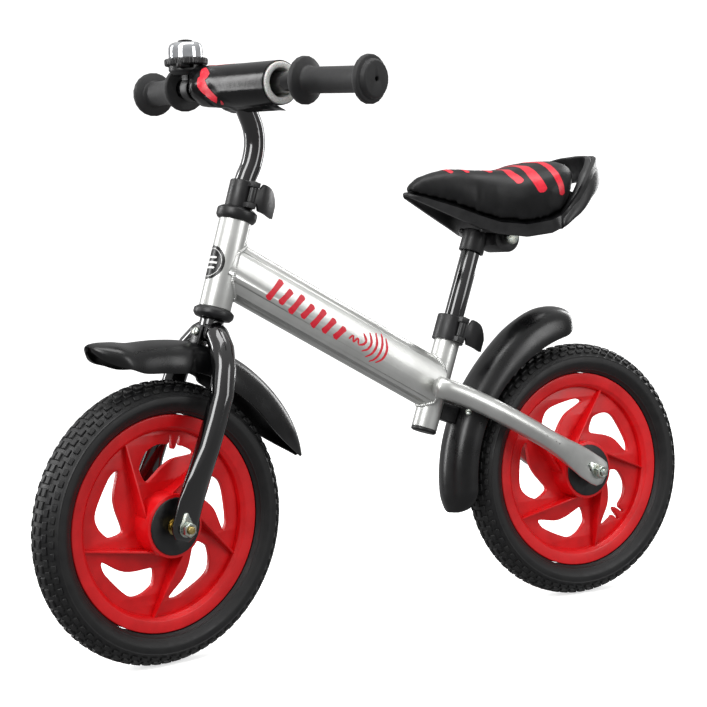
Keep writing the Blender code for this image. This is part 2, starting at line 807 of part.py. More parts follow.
def clamp(prefix, frame, low, lever_frame, bores, outer_radius):
    """A split collar with two lugs, a pin through them, and the curved lever on the pin."""
    high = low + collar_height
    profile = [(outer_radius - 0.0008, high), (outer_radius, high - 0.0008), (outer_radius, low)]
    for radius, height in bores:
        profile.append((radius, height))
    made = turned(f"{prefix}_clamp", profile, frame, black_plastic, 28)
    pin_y = outer_radius + lug_reach - 0.004
    middle = (low + high) / 2
    for word, height in (("upper", high - lug_height / 2), ("lower", low + lug_height / 2)):
        start = bores[0][0] + 0.0008
        far = outer_radius + lug_reach
        size = (0.0095, far - start, lug_height - 0.0004)
        lug = box(f"{prefix}_lug_{word}", size, frame, placed(0, (start + far) / 2, height))
        join(made, lug)
    cut(made, rod(f"{prefix}_pin_hole", lever_pin_radius + gap, low - 0.01, high + 0.01, frame,
                  placed(0, pin_y, 0), sides=12))
    rod(f"{prefix}_clamp_pin", lever_pin_radius, low + gap, high + 0.0008, frame,
        placed(0, pin_y, 0), parts, zinc, 12)
    tall = collar_height - 2 * lug_height - 2 * gap
    knuckle = turned(f"{prefix}_clamp_lever", ring_profile(lever_knuckle_radius, lever_pin_radius + gap,
                                                           middle - tall / 2, middle + tall / 2, 0.0003),
                     lever_frame, black_plastic, 16, placed(0, pin_y, 0))
    route = smooth_route(lever_route(outer_radius), 2)
    rings = []
    for i, point in enumerate(route):
        share = i / (len(route) - 1)
        ahead = (route[min(i + 1, len(route) - 1)] - route[max(i - 1, 0)]).normalized()
        side = Vector((-ahead.y, ahead.x, 0)) * lever_thickness / 2
        widen = min(max((-point.x - 0.0062) / 0.003, 0), 1)
        half = tall / 2 + (lever_height / 2 - tall / 2) * widen
        round_off = 1 - math.sqrt(max(1 - max((share - 0.35) / 0.65, 0) ** 2, 0.04))
        base = middle - half
        top = middle + half - round_off * lever_height * 0.62
        start = point + Vector((-0.003, 0, 0)) if i == 0 else point
        rings.append([start - side + Vector((0, 0, base)), start + side + Vector((0, 0, base)),
                      start + side + Vector((0, 0, top)), start - side + Vector((0, 0, top))])
    join(knuckle, loft(f"{prefix}_lever_blade", rings, lever_frame, None, cutters))
    return made


def stem_clamp():
    low, high = collar_bottom, collar_bottom + collar_height
    ledge = high - 0.0032
    bores = [(steerer_radius + gap, low), (steerer_radius + gap, ledge), (stem_radius + gap, ledge),
             (stem_radius + gap, high)]
    clamp("stem", steering, low, steering, bores, collar_radius)


def seat_clamp():
    low = seat_tube_length - collar_height + 0.004
    high = low + collar_height
    ledge = seat_tube_length + gap
    seat_bore = seat_tube_radius + gap
    wide = collar_radius + 0.0032
    bores = [(seat_bore, low), (seat_bore, ledge), (seat_post_radius + gap, ledge),
             (seat_post_radius + gap, high)]
    clamp("seat", seat_frame, low, seat_frame, bores, wide)


def bell():
    """A clamp and housing on the bar, a hollow gong above it, and a sprung thumb lever."""
    bar_at = bar_point(bell_y)
    upright = turn_y(head_angle)
    base_place = Matrix.Translation(bar_at) @ upright @ placed(bell_forward, 0, bell_lift)
    foot = [(0, bell_base_height), (bell_base_radius - 0.001, bell_base_height),
            (bell_base_radius, bell_base_height - 0.001), (bell_base_radius, 0.0045),
            (bell_base_radius - 0.005, 0), (0, 0)]
    base = turned("bell_base", foot, bar_frame, black_plastic, 28, base_place)
    lie = Matrix.Translation(bar_at) @ Matrix.Rotation(-math.pi / 2, 4, "X")
    band = turned("bell_band", ring_profile(bar_radius + gap + 0.0024, bar_radius + gap, -0.006, 0.006,
                                            0.0004), bar_frame, None, 28, lie, cutters)
    join(base, band)
    post = box("bell_post", (0.014, 0.011, 0.008), bar_frame,
               Matrix.Translation(bar_at) @ upright @ placed(0.004, 0, bell_lift - 0.0015))
    join(base, post)
    run = [bar_point(bell_y + (i - 6) * 0.0025) for i in range(13)]
    cut(base, as_mesh(tube("bell_bar_room", run, bar_radius + 2 * gap, bar_frame, None, cutters, 3)))
    slot = box("bell_lever_slot", (0.020, 0.012, 0.0052), bar_frame,
               base_place @ placed(0.0125, 0.0135, 0.0095))
    cut(base, slot)
    start = bell_base_height + 0.0006
    outer = []
    for i in range(5):
        angle = math.radians(90 - 22.5 * i)
        outer.append(((bell_radius - 0.006) + 0.006 * math.cos(angle),
                      start + bell_height - 0.006 + 0.006 * math.sin(angle)))
    outer[0] = (bell_radius - 0.006, start + bell_height)
    inner = [(max(r - bell_wall, 0.001), h - bell_wall) for r, h in reversed(outer)]
    hole = 0.0022
    profile = [(hole, start + bell_height)] + outer + [(bell_radius, start)]
    profile += [(bell_radius - bell_wall, start)] + inner + [(hole, start + bell_height - bell_wall)]
    turned("bell_gong", profile, bar_frame, chrome, 24, base_place)
    top = start + bell_height + gap
    cap = [(0, top + 0.0022), (0.005, top + 0.0019), (0.0085, top + 0.0006), (0.0088, top),
           (0, top)]
    turned("bell_cap", cap, bar_frame, black_plastic, 24, base_place)
    pivot = base_place @ placed(0.0085, 0.0125, 0.0095)
    blade = [(-0.0030, -0.0030), (-0.0030, 0.0030), (0.004, 0.0042), (0.0125, 0.0085),
             (0.0160, 0.0075), (0.0150, 0.0035), (0.0060, -0.0032)]
    outline_plate("bell_lever", blade, 0.0042, bar_frame, pivot, black_plastic)


def down_tube():
    """An oval tube, coped round the head tube and the seat tube."""
    along_head = head_bottom + down_tube_at_head
    head_point = (Matrix.Translation((half_base - fork_offset / math.cos(head_angle), 0, wheel_radius))
                  @ turn_y(-head_angle)) @ Vector((0, 0, along_head))
    seat_point = (Matrix.Translation(seat_foot) @ turn_y(-seat_angle)) @ Vector((0, 0, down_tube_at_seat))
    stations = [(p, down_tube_width / 2, down_tube_height / 2, 0.85) for p in (seat_point, head_point)]
    made = swept("down_tube", stations, None, silver, 28)
    run = head_point - seat_point
    room = swept("down_tube_room", [(p, down_tube_width / 2 - tube_wall, down_tube_height / 2 - tube_wall,
                                     0.85) for p in (seat_point - run, head_point + run)], None, None, 20)
    cut(made, room)
    cut(made, rod("head_cope", head_tube_radius + gap, head_bottom - 0.05, head_top + 0.05, head_frame,
                  Matrix(), sides=40))
    cut(made, rod("seat_cope", seat_tube_radius + gap, -0.05, seat_tube_length + 0.05, seat_frame,
                  Matrix(), sides=40))
    behind = box("seat_side_trim", (0.08, 0.1, 0.16), seat_frame, placed(-0.0402, 0, down_tube_at_seat))
    cut(made, behind)
    return seat_point


def stays(joint_point):
    """Two tubes from the frame's joint, out round the wheel, to flat plates at the axle."""
    axle = Vector((-half_base, 0, wheel_radius))
    start_y = down_tube_width / 2 + gap + stay_radius
    for word, way in (("left", 1), ("right", -1)):
        start = Vector((joint_point.x + 0.0165, way * start_y, joint_point.z + 0.0020))
        plate = Vector((axle.x, way * (plate_inner_y + plate_thickness / 2), axle.z))
        leave = start + Vector((-0.048, way * 0.0165, -0.0165))
        arrive = plate + Vector((0.066, way * 0.0085, 0.0425))
        centres = interpolate_bezier(start, leave, arrive, plate, 14)
        stations = [(start + Vector((0.0035, -way * 0.001, 0.001)), 0.0070, 0.0070, 1.0)]
        half_plate = plate_thickness / 2
        for i, centre in enumerate(centres[:-1]):
            share = i / (len(centres) - 1)
            flat = min(max((share - 0.72) / 0.17, 0), 1)
            half_side = stay_radius + (half_plate - stay_radius) * flat
            half_rise = stay_radius + (stay_end_width - stay_radius) * flat
            if flat >= 1:
                centre = Vector((centre.x, plate.y, centre.z))
            stations.append((centre, half_side, half_rise, 1.0 - 0.45 * flat))
        ahead = (plate - Vector((centres[-3].x, plate.y, centres[-3].z))).normalized()
        stations.append((plate, half_plate, stay_end_width, 0.5))
        stations.append((plate + ahead * 0.007, half_plate, stay_end_width * 0.94, 0.5))
        stations.append((plate + ahead * stay_end_reach, half_plate, stay_end_width * 0.62, 0.5))
        stay = swept(f"{word}_stay", stations, None, silver, 16)
        slope = math.atan2(ahead.z, ahead.x)
        slot = [(-0.0125, 0), (0, 0)]
        length = slot[1][0] - slot[0][0]
        hole = box(f"{word}_dropout_slot", (length, 0.04, 2 * (axle_radius + gap)), None,
                   Matrix.Translation(plate) @ turn_y(-slope) @ placed(-length / 2, 0, 0))
        cut(stay, hole)
        cut(stay, rod(f"{word}_dropout_end", axle_radius + gap, -0.02, 0.02, None,
                      along_y(plate.x, plate.y, plate.z), sides=20))


def seat_tube():
    turned("seat_tube", ring_profile(seat_tube_radius, seat_tube_bore, 0, seat_tube_length, 0.0003),
           seat_frame, silver, 36)
    plug = [(seat_tube_radius, -gap), (seat_tube_radius, -0.0030), (seat_tube_radius - 0.0015, -0.0045),
            (0, -0.0045), (0, 0.008)]
    body = [(0, 0.008), (seat_tube_bore - gap, 0.008), (seat_tube_bore - gap, -gap)]
    turned("seat_tube_plug", body + plug[:-1], seat_frame, black_plastic, 28)


def fender_rows(crest, edge, spans):
    """Rows across a fender: a round-backed channel about the wheel's axis."""
    rows = []
    for degrees, half, crest_lift, edge_lift in spans:
        angle = math.radians(degrees)
        outer, inner = crest + crest_lift, edge + edge_lift
        row = []
        for i in range(13):
            across = -1 + i / 6
            bow = math.cos(across * math.pi / 2) ** 0.62 if abs(across) < 1 else 0.0
            radius = inner + (outer - inner) * bow
            row.append(Vector((radius * math.cos(angle), half * math.sin(across * math.pi / 2)
                               if abs(across) < 1 else math.copysign(half, across),
                               radius * math.sin(angle))))
        rows.append(row)
    return rows


def fenders():
    crest, edge = wheel_radius + fender_gap, wheel_radius + fender_side_gap
    half = fender_half_width
    rear = [(-9, 0.45 * half, -0.010, 0.010), (-6, 0.78 * half, -0.004, 0.004), (0, half, 0, 0),
            (14, half, 0, 0), (28, half, 0, 0), (42, half, 0.0005, 0), (54, half, 0.004, 0),
            (66, half, 0.010, 0.001), (76, half, 0.0135, 0.003), (83, 0.86 * half, 0.010, 0.005),
            (87.5, 0.5 * half, 0.000, 0.006)]
    made = sheet("rear_fender", fender_rows(crest, edge, rear), fender_thickness, rear_hub, black_plastic)
    front = [(67.5, 0.50 * half, 0.0225, 0.0300), (69.5, 0.95 * half, 0.0195, 0.0255),
             (74, 1.12 * half, 0.0135, 0.0160), (80, 1.05 * half, 0.0065, 0.0050), (90, half, 0.0040, 0.0005),
             (98, half, 0.0036, 0), (103, 0.8 * half, 0.0036, 0.002), (113, 0.8 * half, 0.0036, 0.001),
             (118, half, 0.0040, -0.003), (132, half, 0.0045, -0.003),
             (144, half, 0.0050, -0.002), (152, 0.84 * half, 0.0060, 0.004), (159, 0.50 * half, 0.0070, 0.016),
             (165, 0.12 * half, 0.0075, 0.031)]
    front_made = sheet("front_fender", fender_rows(crest, edge, front), fender_thickness, front_hub,
                       black_plastic)
    tab_front = crown_depth / 2 - 0.002 + gap
    tab = box("fender_tab", (0.0026, 0.016, 0.0215), steering,
              placed(tab_front + 0.0013, 0, crown_bottom + 0.0050))
    join(front_made, tab)
    bolt = [(0, 0.0032), (0.0030, 0.0030), (0.0048, 0.0016), (0.0050, 0), (0, 0)]
    outward = placed(tab_front + 0.0026 + gap, 0, crown_bottom + 0.0080) @ turn_y(math.pi / 2)
    turned("front_fender_bolt", bolt, steering, zinc, 16, outward)
    return made, crest


def rear_fender_fixings(crest):
    """A boss on the seat tube that holds the rear fender, and its screw."""
    at = math.radians(25)
    out = Matrix.Rotation(-at, 4, "Y")
    start = crest + fender_thickness / 2 + 2 * gap
    seat_inverse = (Matrix.Translation(seat_foot) @ turn_y(-seat_angle)).inverted()
    hub_place = placed(-half_base, 0, wheel_radius)
    face = hub_place @ out @ Vector((start, 0, 0))
    from_axis = (seat_inverse @ face)
    reach = abs(from_axis.x)
    block = box("rear_fender_bracket", (reach, 0.016, 0.020), seat_frame,
                placed(-reach / 2, 0, from_axis.z), parts, black_plastic)
    cut(block, rod("bracket_cope", seat_tube_radius + gap, -0.05, 0.2, seat_frame, Matrix(), sides=40))
    keep = turned("bracket_keep", [(start, 0.04), (start, -0.04), (0.05, -0.04), (0.05, 0.04)],
                  rear_hub, None, 96, along_y(), cutters)
    cut(block, keep)
    head = [(0, 0.0024), (0.0026, 0.0020), (0.0038, 0.0006), (0.0038, 0), (0, 0)]
    swing = Matrix.Rotation(-screw_angle, 4, "Y") @ placed(crest - 0.0047, 0.0182, 0)
    lean = Matrix(((0.81, 0, 0.586, 0), (0.586, 0, -0.81, 0), (0, 1, 0, 0), (0, 0, 0, 1)))
    out_and_left = swing @ lean @ Matrix.Rotation(math.pi / 2, 4, "Y") @ placed(0, 0, screw_lift)
    turned("rear_fender_screw", head, rear_hub, zinc, 14, out_and_left)


def seat_post():
    low = seat_tube_length - seat_post_insertion
    post = [(0, seat_post_top), (seat_post_radius, seat_post_top), (seat_post_radius, low), (0, low)]
    turned("seat_post", post, seat_frame, gloss_black, 28)
    sleeve_top = seat_post_top + 0.0040
    sleeve_low = seat_post_top - 0.0205
    outer = seat_post_radius + gap + 0.0028
    sleeve = [(0, sleeve_top), (outer - 0.001, sleeve_top), (outer, sleeve_top - 0.001),
              (outer, sleeve_low), (seat_post_radius + gap, sleeve_low),
              (seat_post_radius + gap, seat_post_top + gap), (0, seat_post_top + gap)]
    made = turned("saddle_clamp", sleeve, seat_frame, gloss_black, 24)
    bolt_at = along_y(-clamp_behind, 0, clamp_height)
    web = box("clamp_web", (clamp_behind, 0.020, 0.018), saddle_frame,
              placed(-clamp_behind / 2, 0, clamp_height + 0.001))
    join(made, web)
    join(made, rod("clamp_barrel", clamp_disc_radius, -clamp_half_width, clamp_half_width, saddle_frame,
                   bolt_at, sides=28))
    cut(made, rod("clamp_room", seat_post_radius + gap, sleeve_low - 0.02, seat_post_top + gap, seat_frame,
                  Matrix(), sides=24))
    cut(made, rod("clamp_bolt_hole", 0.0036, -0.03, 0.03, saddle_frame, bolt_at))
    head = rail_spread + rail_radius + 2 * gap
    bolt = [(0, head + 0.0050), (0.0070, head + 0.0050), (0.0078, head + 0.0040), (0.0078, head),
            (0.0033, head)]
    bolt += [(r, -h) for r, h in reversed(bolt)]
    turned("saddle_clamp_bolt", bolt, saddle_frame, zinc, 12, bolt_at)


def interpolate(at, table):
    for (start, low), (end, high) in zip(table, table[1:]):
        if at <= end:
            return low + (high - low) * (at - start) / (end - start)
    return table[-1][1]


def saddle():
    """A padded cover on a moulded base that turns up into a carrying handle at the rear."""
    # Ahead of the post, cushion half width, base half width, lower edge, seam, crown, arch
    stations = [
        (0.0925, 0.0030, 0.0040, 0.0462, 0.0495, 0.0535, 0.001),
        (0.0886, 0.0066, 0.0082, 0.0440, 0.0478, 0.0590, 0.003),
        (0.0752, 0.0112, 0.0130, 0.0375, 0.0440, 0.0685, 0.006),
        (0.0570, 0.0165, 0.0188, 0.0285, 0.0378, 0.0730, 0.009),
        (0.0350, 0.0226, 0.0252, 0.0175, 0.0300, 0.0738, 0.013),
        (0.0150, 0.0280, 0.0312, 0.0078, 0.0215, 0.0724, 0.017),
        (-0.0050, 0.0385, 0.0430, 0.0000, 0.0130, 0.0711, 0.021),
        (-0.0300, 0.0560, 0.0610, -0.0048, 0.0090, 0.0709, 0.024),
        (-0.0540, 0.0675, 0.0730, -0.0018, 0.0125, 0.0749, 0.026),
        (-0.0720, 0.0695, 0.0765, 0.0060, 0.0205, 0.0794, 0.022),
        (-0.0870, 0.0630, 0.0755, 0.0165, 0.0315, 0.0802, 0.016),
        (-0.1000, 0.0510, 0.0725, 0.0265, 0.0440, 0.0785, 0.010),
        (-0.1120, 0.0270, 0.0270, 0.0300, 0.0580, 0.0735, 0.004),
    ]
    spread = [-1 + i / 4 for i in range(9)]
    cushion_rings, base_rings = [], []
    for ahead, half, base_half, low, seam, crown, arch in stations:
        x = ahead * saddle_scale
        upper = []
        for i in range(11):
            across, up = math.cos(math.pi * i / 10), math.sin(math.pi * i / 10)
            side = math.copysign(abs(across) ** 0.75, -across) * (1 + cushion_bulge * up ** 0.6)
            edge = seam + 2.5 * saddle_clearance
            upper.append(Vector((x, half * side, edge + (crown - edge) * up ** 0.62)))
        shell = [Vector((x, half * a, seam + arch * (1 - a * a))) for a in spread]
        lift = Vector((0, 0, saddle_clearance))
        under = [p + lift * (2.5 + 5 * (1 - a * a)) for p, a in zip(shell, spread)]
        cushion_rings.append(upper + under[-2:0:-1])
        wall = min(saddle_wall, base_half * 0.4)
        inner = base_half - wall
        reach = min(half, inner)
        ceiling = [Vector((x, reach * a, seam + arch * (1 - a * a) - 0.003)) for a in spread]
        base_rings.append([Vector((x, -base_half, low)), Vector((x, -base_half, seam))] + shell
                          + [Vector((x, base_half, seam)), Vector((x, base_half, low)),
                             Vector((x, inner, low))] + ceiling[::-1] + [Vector((x, -inner, low))])
    loft("saddle_cushion", cushion_rings, saddle_frame, black_vinyl)
    base = loft("saddle_base", base_rings[:-1], saddle_frame, black_plastic)
    join(base, handle())
    rail()


def handle():
    """The loop behind the cushion: a band bent round from side to side, rising to the rear."""
    upper = [(0, 0.0865), (20, 0.0855), (40, 0.0810), (60, 0.0665), (80, 0.0385), (100, 0.0130)]
    lower = [(0, 0.0580), (40, 0.0530), (60, 0.0388), (80, 0.0178), (100, -0.0005)]
    rings = []
    for step in range(-10, 11):
        degrees = step * 9.7
        across, back = math.sin(math.radians(degrees)), math.cos(math.radians(degrees))
        centre = Vector((-handle_start - handle_reach * back, handle_half_width * across, 0))
        outward = Vector((-back / handle_reach, across / handle_half_width, 0)).normalized()
        thick = outward * handle_thickness / 2
        top = Vector((0, 0, interpolate(abs(degrees), upper)))
        foot = Vector((0, 0, interpolate(abs(degrees), lower)))
        rings.append([centre - thick + foot, centre + thick * 1.4 + foot,
                      centre + thick + top, centre - thick + top])
    return loft("saddle_handle", rings, saddle_frame, None, cutters)


def rail():
    """A bent wire under the base; its two ends run between the clamp's discs and the bolt's heads."""
    level = clamp_height + 0.0072
    points = [(0.016, 0, level + 0.006), (0.0155, rail_spread * 0.7, level + 0.006),
              (0.006, rail_spread, level + 0.003), (-clamp_behind, rail_spread, level),
              (-0.058, rail_spread, level + 0.004), (-0.066, rail_spread * 0.9, level + 0.007)]
    wire = smooth_route([Vector(p) for p in points[2:]], 2)
    other = [Vector((p.x, -p.y, p.z)) for p in reversed(wire)]
    as_mesh(tube("saddle_rail", wire + other, rail_radius, saddle_frame, zinc, None, 1))


def build():
    wheel("front", front_hub, front_wheel_phase, 0.0)
    wheel("rear", rear_hub, rear_wheel_phase, math.radians(50))
    head_set()
    fork()
    handlebar()
    pad()
    bell()
    stem_clamp()
    seat_clamp()
    joint_point = down_tube()
    stays(joint_point)
    seat_tube()
    rear_crest = fenders()[1]
    rear_fender_fixings(rear_crest)
    seat_post()
    saddle()


build()
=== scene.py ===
import json
import math
import bpy
from mathutils import Matrix, Vector, noise


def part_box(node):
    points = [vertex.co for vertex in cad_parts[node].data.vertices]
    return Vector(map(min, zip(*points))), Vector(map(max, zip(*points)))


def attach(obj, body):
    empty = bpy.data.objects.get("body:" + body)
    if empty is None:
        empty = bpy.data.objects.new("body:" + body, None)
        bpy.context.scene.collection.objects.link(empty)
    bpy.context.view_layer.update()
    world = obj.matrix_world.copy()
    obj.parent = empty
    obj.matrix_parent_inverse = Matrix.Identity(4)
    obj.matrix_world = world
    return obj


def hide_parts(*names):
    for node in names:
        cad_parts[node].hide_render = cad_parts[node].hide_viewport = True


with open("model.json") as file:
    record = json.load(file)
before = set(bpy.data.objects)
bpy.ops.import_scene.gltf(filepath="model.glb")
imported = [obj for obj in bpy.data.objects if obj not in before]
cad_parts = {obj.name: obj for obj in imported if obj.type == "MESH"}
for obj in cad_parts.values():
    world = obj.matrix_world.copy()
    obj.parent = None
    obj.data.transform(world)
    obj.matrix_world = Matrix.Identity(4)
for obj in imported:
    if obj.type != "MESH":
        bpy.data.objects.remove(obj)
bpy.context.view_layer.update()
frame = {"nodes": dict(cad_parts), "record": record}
nodes = frame["nodes"]
bodyOf = {node: body for body, members in frame["record"]["behaviour"]["bodies"].items()
          for node in members}
print("frame loaded:", len(nodes), "nodes")

# places on the bike, all in metres
bike = {
    "headAngle": math.radians(17.8),  # how far the steering axis leans back
    "steerTurn": math.radians(9.8),  # the bars are turned a little to the left
    "steeringFoot": (0.262143, 0.0, 0.1475),  # steering axis at axle height
}


def middle(node):
    low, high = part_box(node)
    return (low + high) / 2


lean = Matrix.Rotation(-bike["headAngle"], 4, "Y")
turn = Matrix.Rotation(bike["steerTurn"], 4, "Z")
steering = Matrix.Translation(bike["steeringFoot"]) @ lean @ turn
turnedAxle = Matrix.Rotation(-math.pi / 2, 4, "X")  # local Z becomes the axle, +Y
wheels = {
    "front": Matrix.Translation(middle("front_tyre")) @ lean @ turn @ lean.inverted() @ turnedAxle,
    "rear": Matrix.Translation(middle("rear_tyre")) @ turnedAxle,
}


# small tools
made = {}  # finished pieces by name


def linear(colour):
    values = []
    for i in (0, 2, 4):
        v = int(colour[i:i + 2], 16) / 255
        values.append(v / 12.92 if v <= 0.04045 else ((v + 0.055) / 1.055) ** 2.4)
    return (*values, 1.0)


def pick(piece):
    if bpy.context.mode != "OBJECT":
        bpy.ops.object.mode_set(mode="OBJECT")
    bpy.ops.object.select_all(action="DESELECT")
    piece.select_set(True)
    bpy.context.view_layer.objects.active = piece


def edit(piece):
    pick(piece)
    bpy.ops.object.mode_set(mode="EDIT")
    bpy.ops.mesh.select_all(action="SELECT")


def done():
    bpy.ops.object.mode_set(mode="OBJECT")


def applyModifiers(piece):
    pick(piece)
    for modifier in list(piece.modifiers):
        bpy.ops.object.modifier_apply(modifier=modifier.name)


def modify(piece, kind, **options):
    modifier = piece.modifiers.new(kind.title(), kind)
    for key, value in options.items():
        setattr(modifier, key, value)
    return modifier


def soften(piece, width, segments=2, angle=35):
    modify(piece, "BEVEL", width=width, segments=segments, limit_method="ANGLE",
           angle_limit=math.radians(angle), use_clamp_overlap=True)
    applyModifiers(piece)


def subdivide(piece, levels=1):
    modify(piece, "SUBSURF", levels=levels, render_levels=levels)
    applyModifiers(piece)


def smoothShade(piece, angle=40):
    pick(piece)
    bpy.ops.object.shade_smooth_by_angle(angle=math.radians(angle))


def settle(piece, matrix=None):
    # the place goes into the mesh, and the object stays at the origin
    pick(piece)
    bpy.ops.object.transform_apply(location=True, rotation=True, scale=True)
    if matrix is not None:
        piece.data.transform(matrix)
    piece.data.update()


def joined(pieces, name):
    pick(pieces[0])
    for piece in pieces[1:]:
        piece.select_set(True)
    if len(pieces) > 1:
        bpy.ops.object.join()
    result = bpy.context.view_layer.objects.active
    result.name = name
    return result


def copied(piece, name):
    twin = piece.copy()
    twin.data = piece.data.copy()
    twin.name = name
    bpy.context.scene.collection.objects.link(twin)
    return twin


def fromMesh(name, points, faces, edges=()):
    mesh = bpy.data.meshes.new(name)
    mesh.from_pydata([tuple(p) for p in points], list(edges), faces)
    piece = bpy.data.objects.new(name, mesh)
    bpy.context.scene.collection.objects.link(piece)
    return piece


def spun(name, outline, steps=64, loop=True):
    # outline is (radius, height) about local Z, spun into a ring or a solid
    count = len(outline)
    edges = [(i, i + 1) for i in range(count - 1)] + ([(count - 1, 0)] if loop else [])
    piece = fromMesh(name, [(r, 0, z) for r, z in outline], [], edges)
    edit(piece)
    bpy.ops.mesh.spin(steps=steps, angle=2 * math.pi, center=(0, 0, 0), axis=(0, 0, 1))
    bpy.ops.mesh.select_all(action="SELECT")
    bpy.ops.mesh.remove_doubles(threshold=1e-5)
    bpy.ops.mesh.normals_make_consistent(inside=False)
    done()
    return piece


def curved(points, steps, loop=False):
    # a smooth line through the points
    line, count = [], len(points)
    vectors = [Vector(p) for p in points]
    for i in range(count if loop else count - 1):
        if loop:
            a, b, c, d = (vectors[(i + k) % count] for k in (-1, 0, 1, 2))
        else:
            b, c = vectors[i], vectors[i + 1]
            a = vectors[i - 1] if i else 2 * b - c
            d = vectors[i + 2] if i + 2 < count else 2 * c - b
        for k in range(steps):
            t = k / steps
            line.append(0.5 * (2 * b + (c - a) * t + (2 * a - 5 * b + 4 * c - d) * t * t
                               + (3 * b - a - 3 * c + d) * t ** 3))
    if not loop:
        line.append(vectors[-1])
    return line


def evenly(points, spacing):
    # the same line with points a set distance apart
    reach = [0.0]
    for a, b in zip(points, points[1:]):
        reach.append(reach[-1] + (b - a).length)
    count = max(4, round(reach[-1] / spacing))
    line, at = [], 0
    for i in range(count + 1):
        goal = reach[-1] * i / count
        while at < len(reach) - 2 and reach[at + 1] < goal:
            at += 1
        share = (goal - reach[at]) / max(reach[at + 1] - reach[at], 1e-9)
        line.append(points[at].lerp(points[at + 1], min(share, 1.0)))
    return line, reach[-1]


def printed(name, target, strokes, lift=0.00012, spacing=0.0012, across=6):
    # screen print: each stroke is (path, widths along it, how round its ends are)
    points, faces = [], []
    for path, widths, blunt in strokes:
        line, length = evenly(curved(path, 10), spacing)
        spots = []
        for spot in line:
            hit, where, normal, index = target.closest_point_on_mesh(spot)
            spots.append((where, normal))
        first = len(points)
        for i, (where, normal) in enumerate(spots):
            ahead = (spots[min(i + 1, len(spots) - 1)][0] - spots[max(i - 1, 0)][0]).normalized()
            share = i / (len(spots) - 1)
            place = share * (len(widths) - 1)
            k = min(int(place), len(widths) - 2)
            width = widths[k] + (widths[k + 1] - widths[k]) * (place - k)
            edge = min(share, 1 - share) * length
            fall = min(edge / max(blunt * width, 1e-6), 1.0)
            width *= math.sqrt(max(1 - (1 - fall) ** 2, 0.02))
            row = {0: where + normal * lift}
            for side in (1, -1):
                at, facing = where, normal
                for j in range(1, across // 2 + 1):
                    outward = facing.cross(ahead).normalized() * side
                    step = outward * width / across
                    hit, at, facing, index = target.closest_point_on_mesh(at + step)
                    row[side * j] = at + facing * lift
            points += [row[j] for j in range(-(across // 2), across // 2 + 1)]
        for i in range(len(spots) - 1):
            for j in range(across):
                a = first + i * (across + 1) + j
                faces.append((a, a + 1, a + across + 2, a + across + 1))
    piece = fromMesh(name, points, faces)
    bpy.context.view_layer.update()
    return piece


def bead(name, path, radius, ripple=0.0022, loop=False):
    # a weld: a thin rope of overlapping ripples laid along the joint
    line, length = evenly(path + path[:1] if loop else path, ripple / 4)
    points, faces, sides = [], [], 8
    for i, spot in enumerate(line):
        ahead = (line[min(i + 1, len(line) - 1)] - line[max(i - 1, 0)]).normalized()
        side = ahead.orthogonal().normalized()
        up = ahead.cross(side)
        swell = radius * (0.82 + 0.30 * (1 - (i % 4) / 4))
        points += [spot + swell * (math.cos(a) * side + math.sin(a) * up)
                   for a in (2 * math.pi * k / sides for k in range(sides))]
    for i in range(len(line) - 1):
        for k in range(sides):
            a, b = i * sides + k, i * sides + (k + 1) % sides
            faces.append((a, b, b + sides, a + sides))
    faces += [tuple(reversed(range(sides))), tuple(range(len(points) - sides, len(points)))]
    return fromMesh(name, points, faces)


def finishPiece(piece, name, material, stands, body=None, angle=40):
    piece.name = name
    piece.data.name = name
    piece.data.materials.clear()
    piece.data.materials.append(material)
    smoothShade(piece, angle)
    settle(piece)
    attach(piece, body or bodyOf[stands[0]])
    if stands:
        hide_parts(*stands)
    made[name] = piece
    return piece


# materials
def newMaterial(name):
    material = bpy.data.materials.new(name)
    material.use_nodes = True
    tree = material.node_tree
    return material, tree, tree.nodes["Principled BSDF"]


def addNode(tree, kind, wires=(), sockets=(), **options):
    # wires are (socket, node, output), sockets are (socket, value)
    node = tree.nodes.new(kind)
    for key, value in options.items():
        setattr(node, key, value)
    for socket, value in sockets:
        node.inputs[socket].default_value = value
    for socket, source, output in wires:
        tree.links.new(source.outputs[output], node.inputs[socket])
    return node


def setShader(shader, **values):
    names = {"metallic": "Metallic", "rough": "Roughness", "ior": "IOR", "coat": "Coat Weight",
             "coatRough": "Coat Roughness", "sheen": "Sheen Weight",
             "specular": "Specular IOR Level", "subsurface": "Subsurface Weight",
             "subsurfaceScale": "Subsurface Scale"}
    for key, value in values.items():
        shader.inputs[names[key]].default_value = value


def mottle(tree, shader, dark, light, size, low=0.35, high=0.65, detail=3.0):
    # colour drifts between two near tones over a real size in metres
    where = addNode(tree, "ShaderNodeTexCoord")
    drift = addNode(tree, "ShaderNodeTexNoise", [("Vector", where, "Object")],
                    [("Scale", 1 / size), ("Detail", detail), ("Roughness", 0.6)])
    ramp = addNode(tree, "ShaderNodeValToRGB", [("Fac", drift, "Fac")])
    ramp.color_ramp.elements[0].position = low
    ramp.color_ramp.elements[0].color = linear(dark)
    ramp.color_ramp.elements[1].position = high
    ramp.color_ramp.elements[1].color = linear(light)
    tree.links.new(ramp.outputs["Color"], shader.inputs["Base Color"])
    return where, drift, ramp


def roughen(tree, shader, drift, low, high):
    spread = addNode(tree, "ShaderNodeMapRange", [("Value", drift, "Fac")],
                     [("From Min", 0.3), ("From Max", 0.7), ("To Min", low), ("To Max", high)])
    tree.links.new(spread.outputs["Result"], shader.inputs["Roughness"])


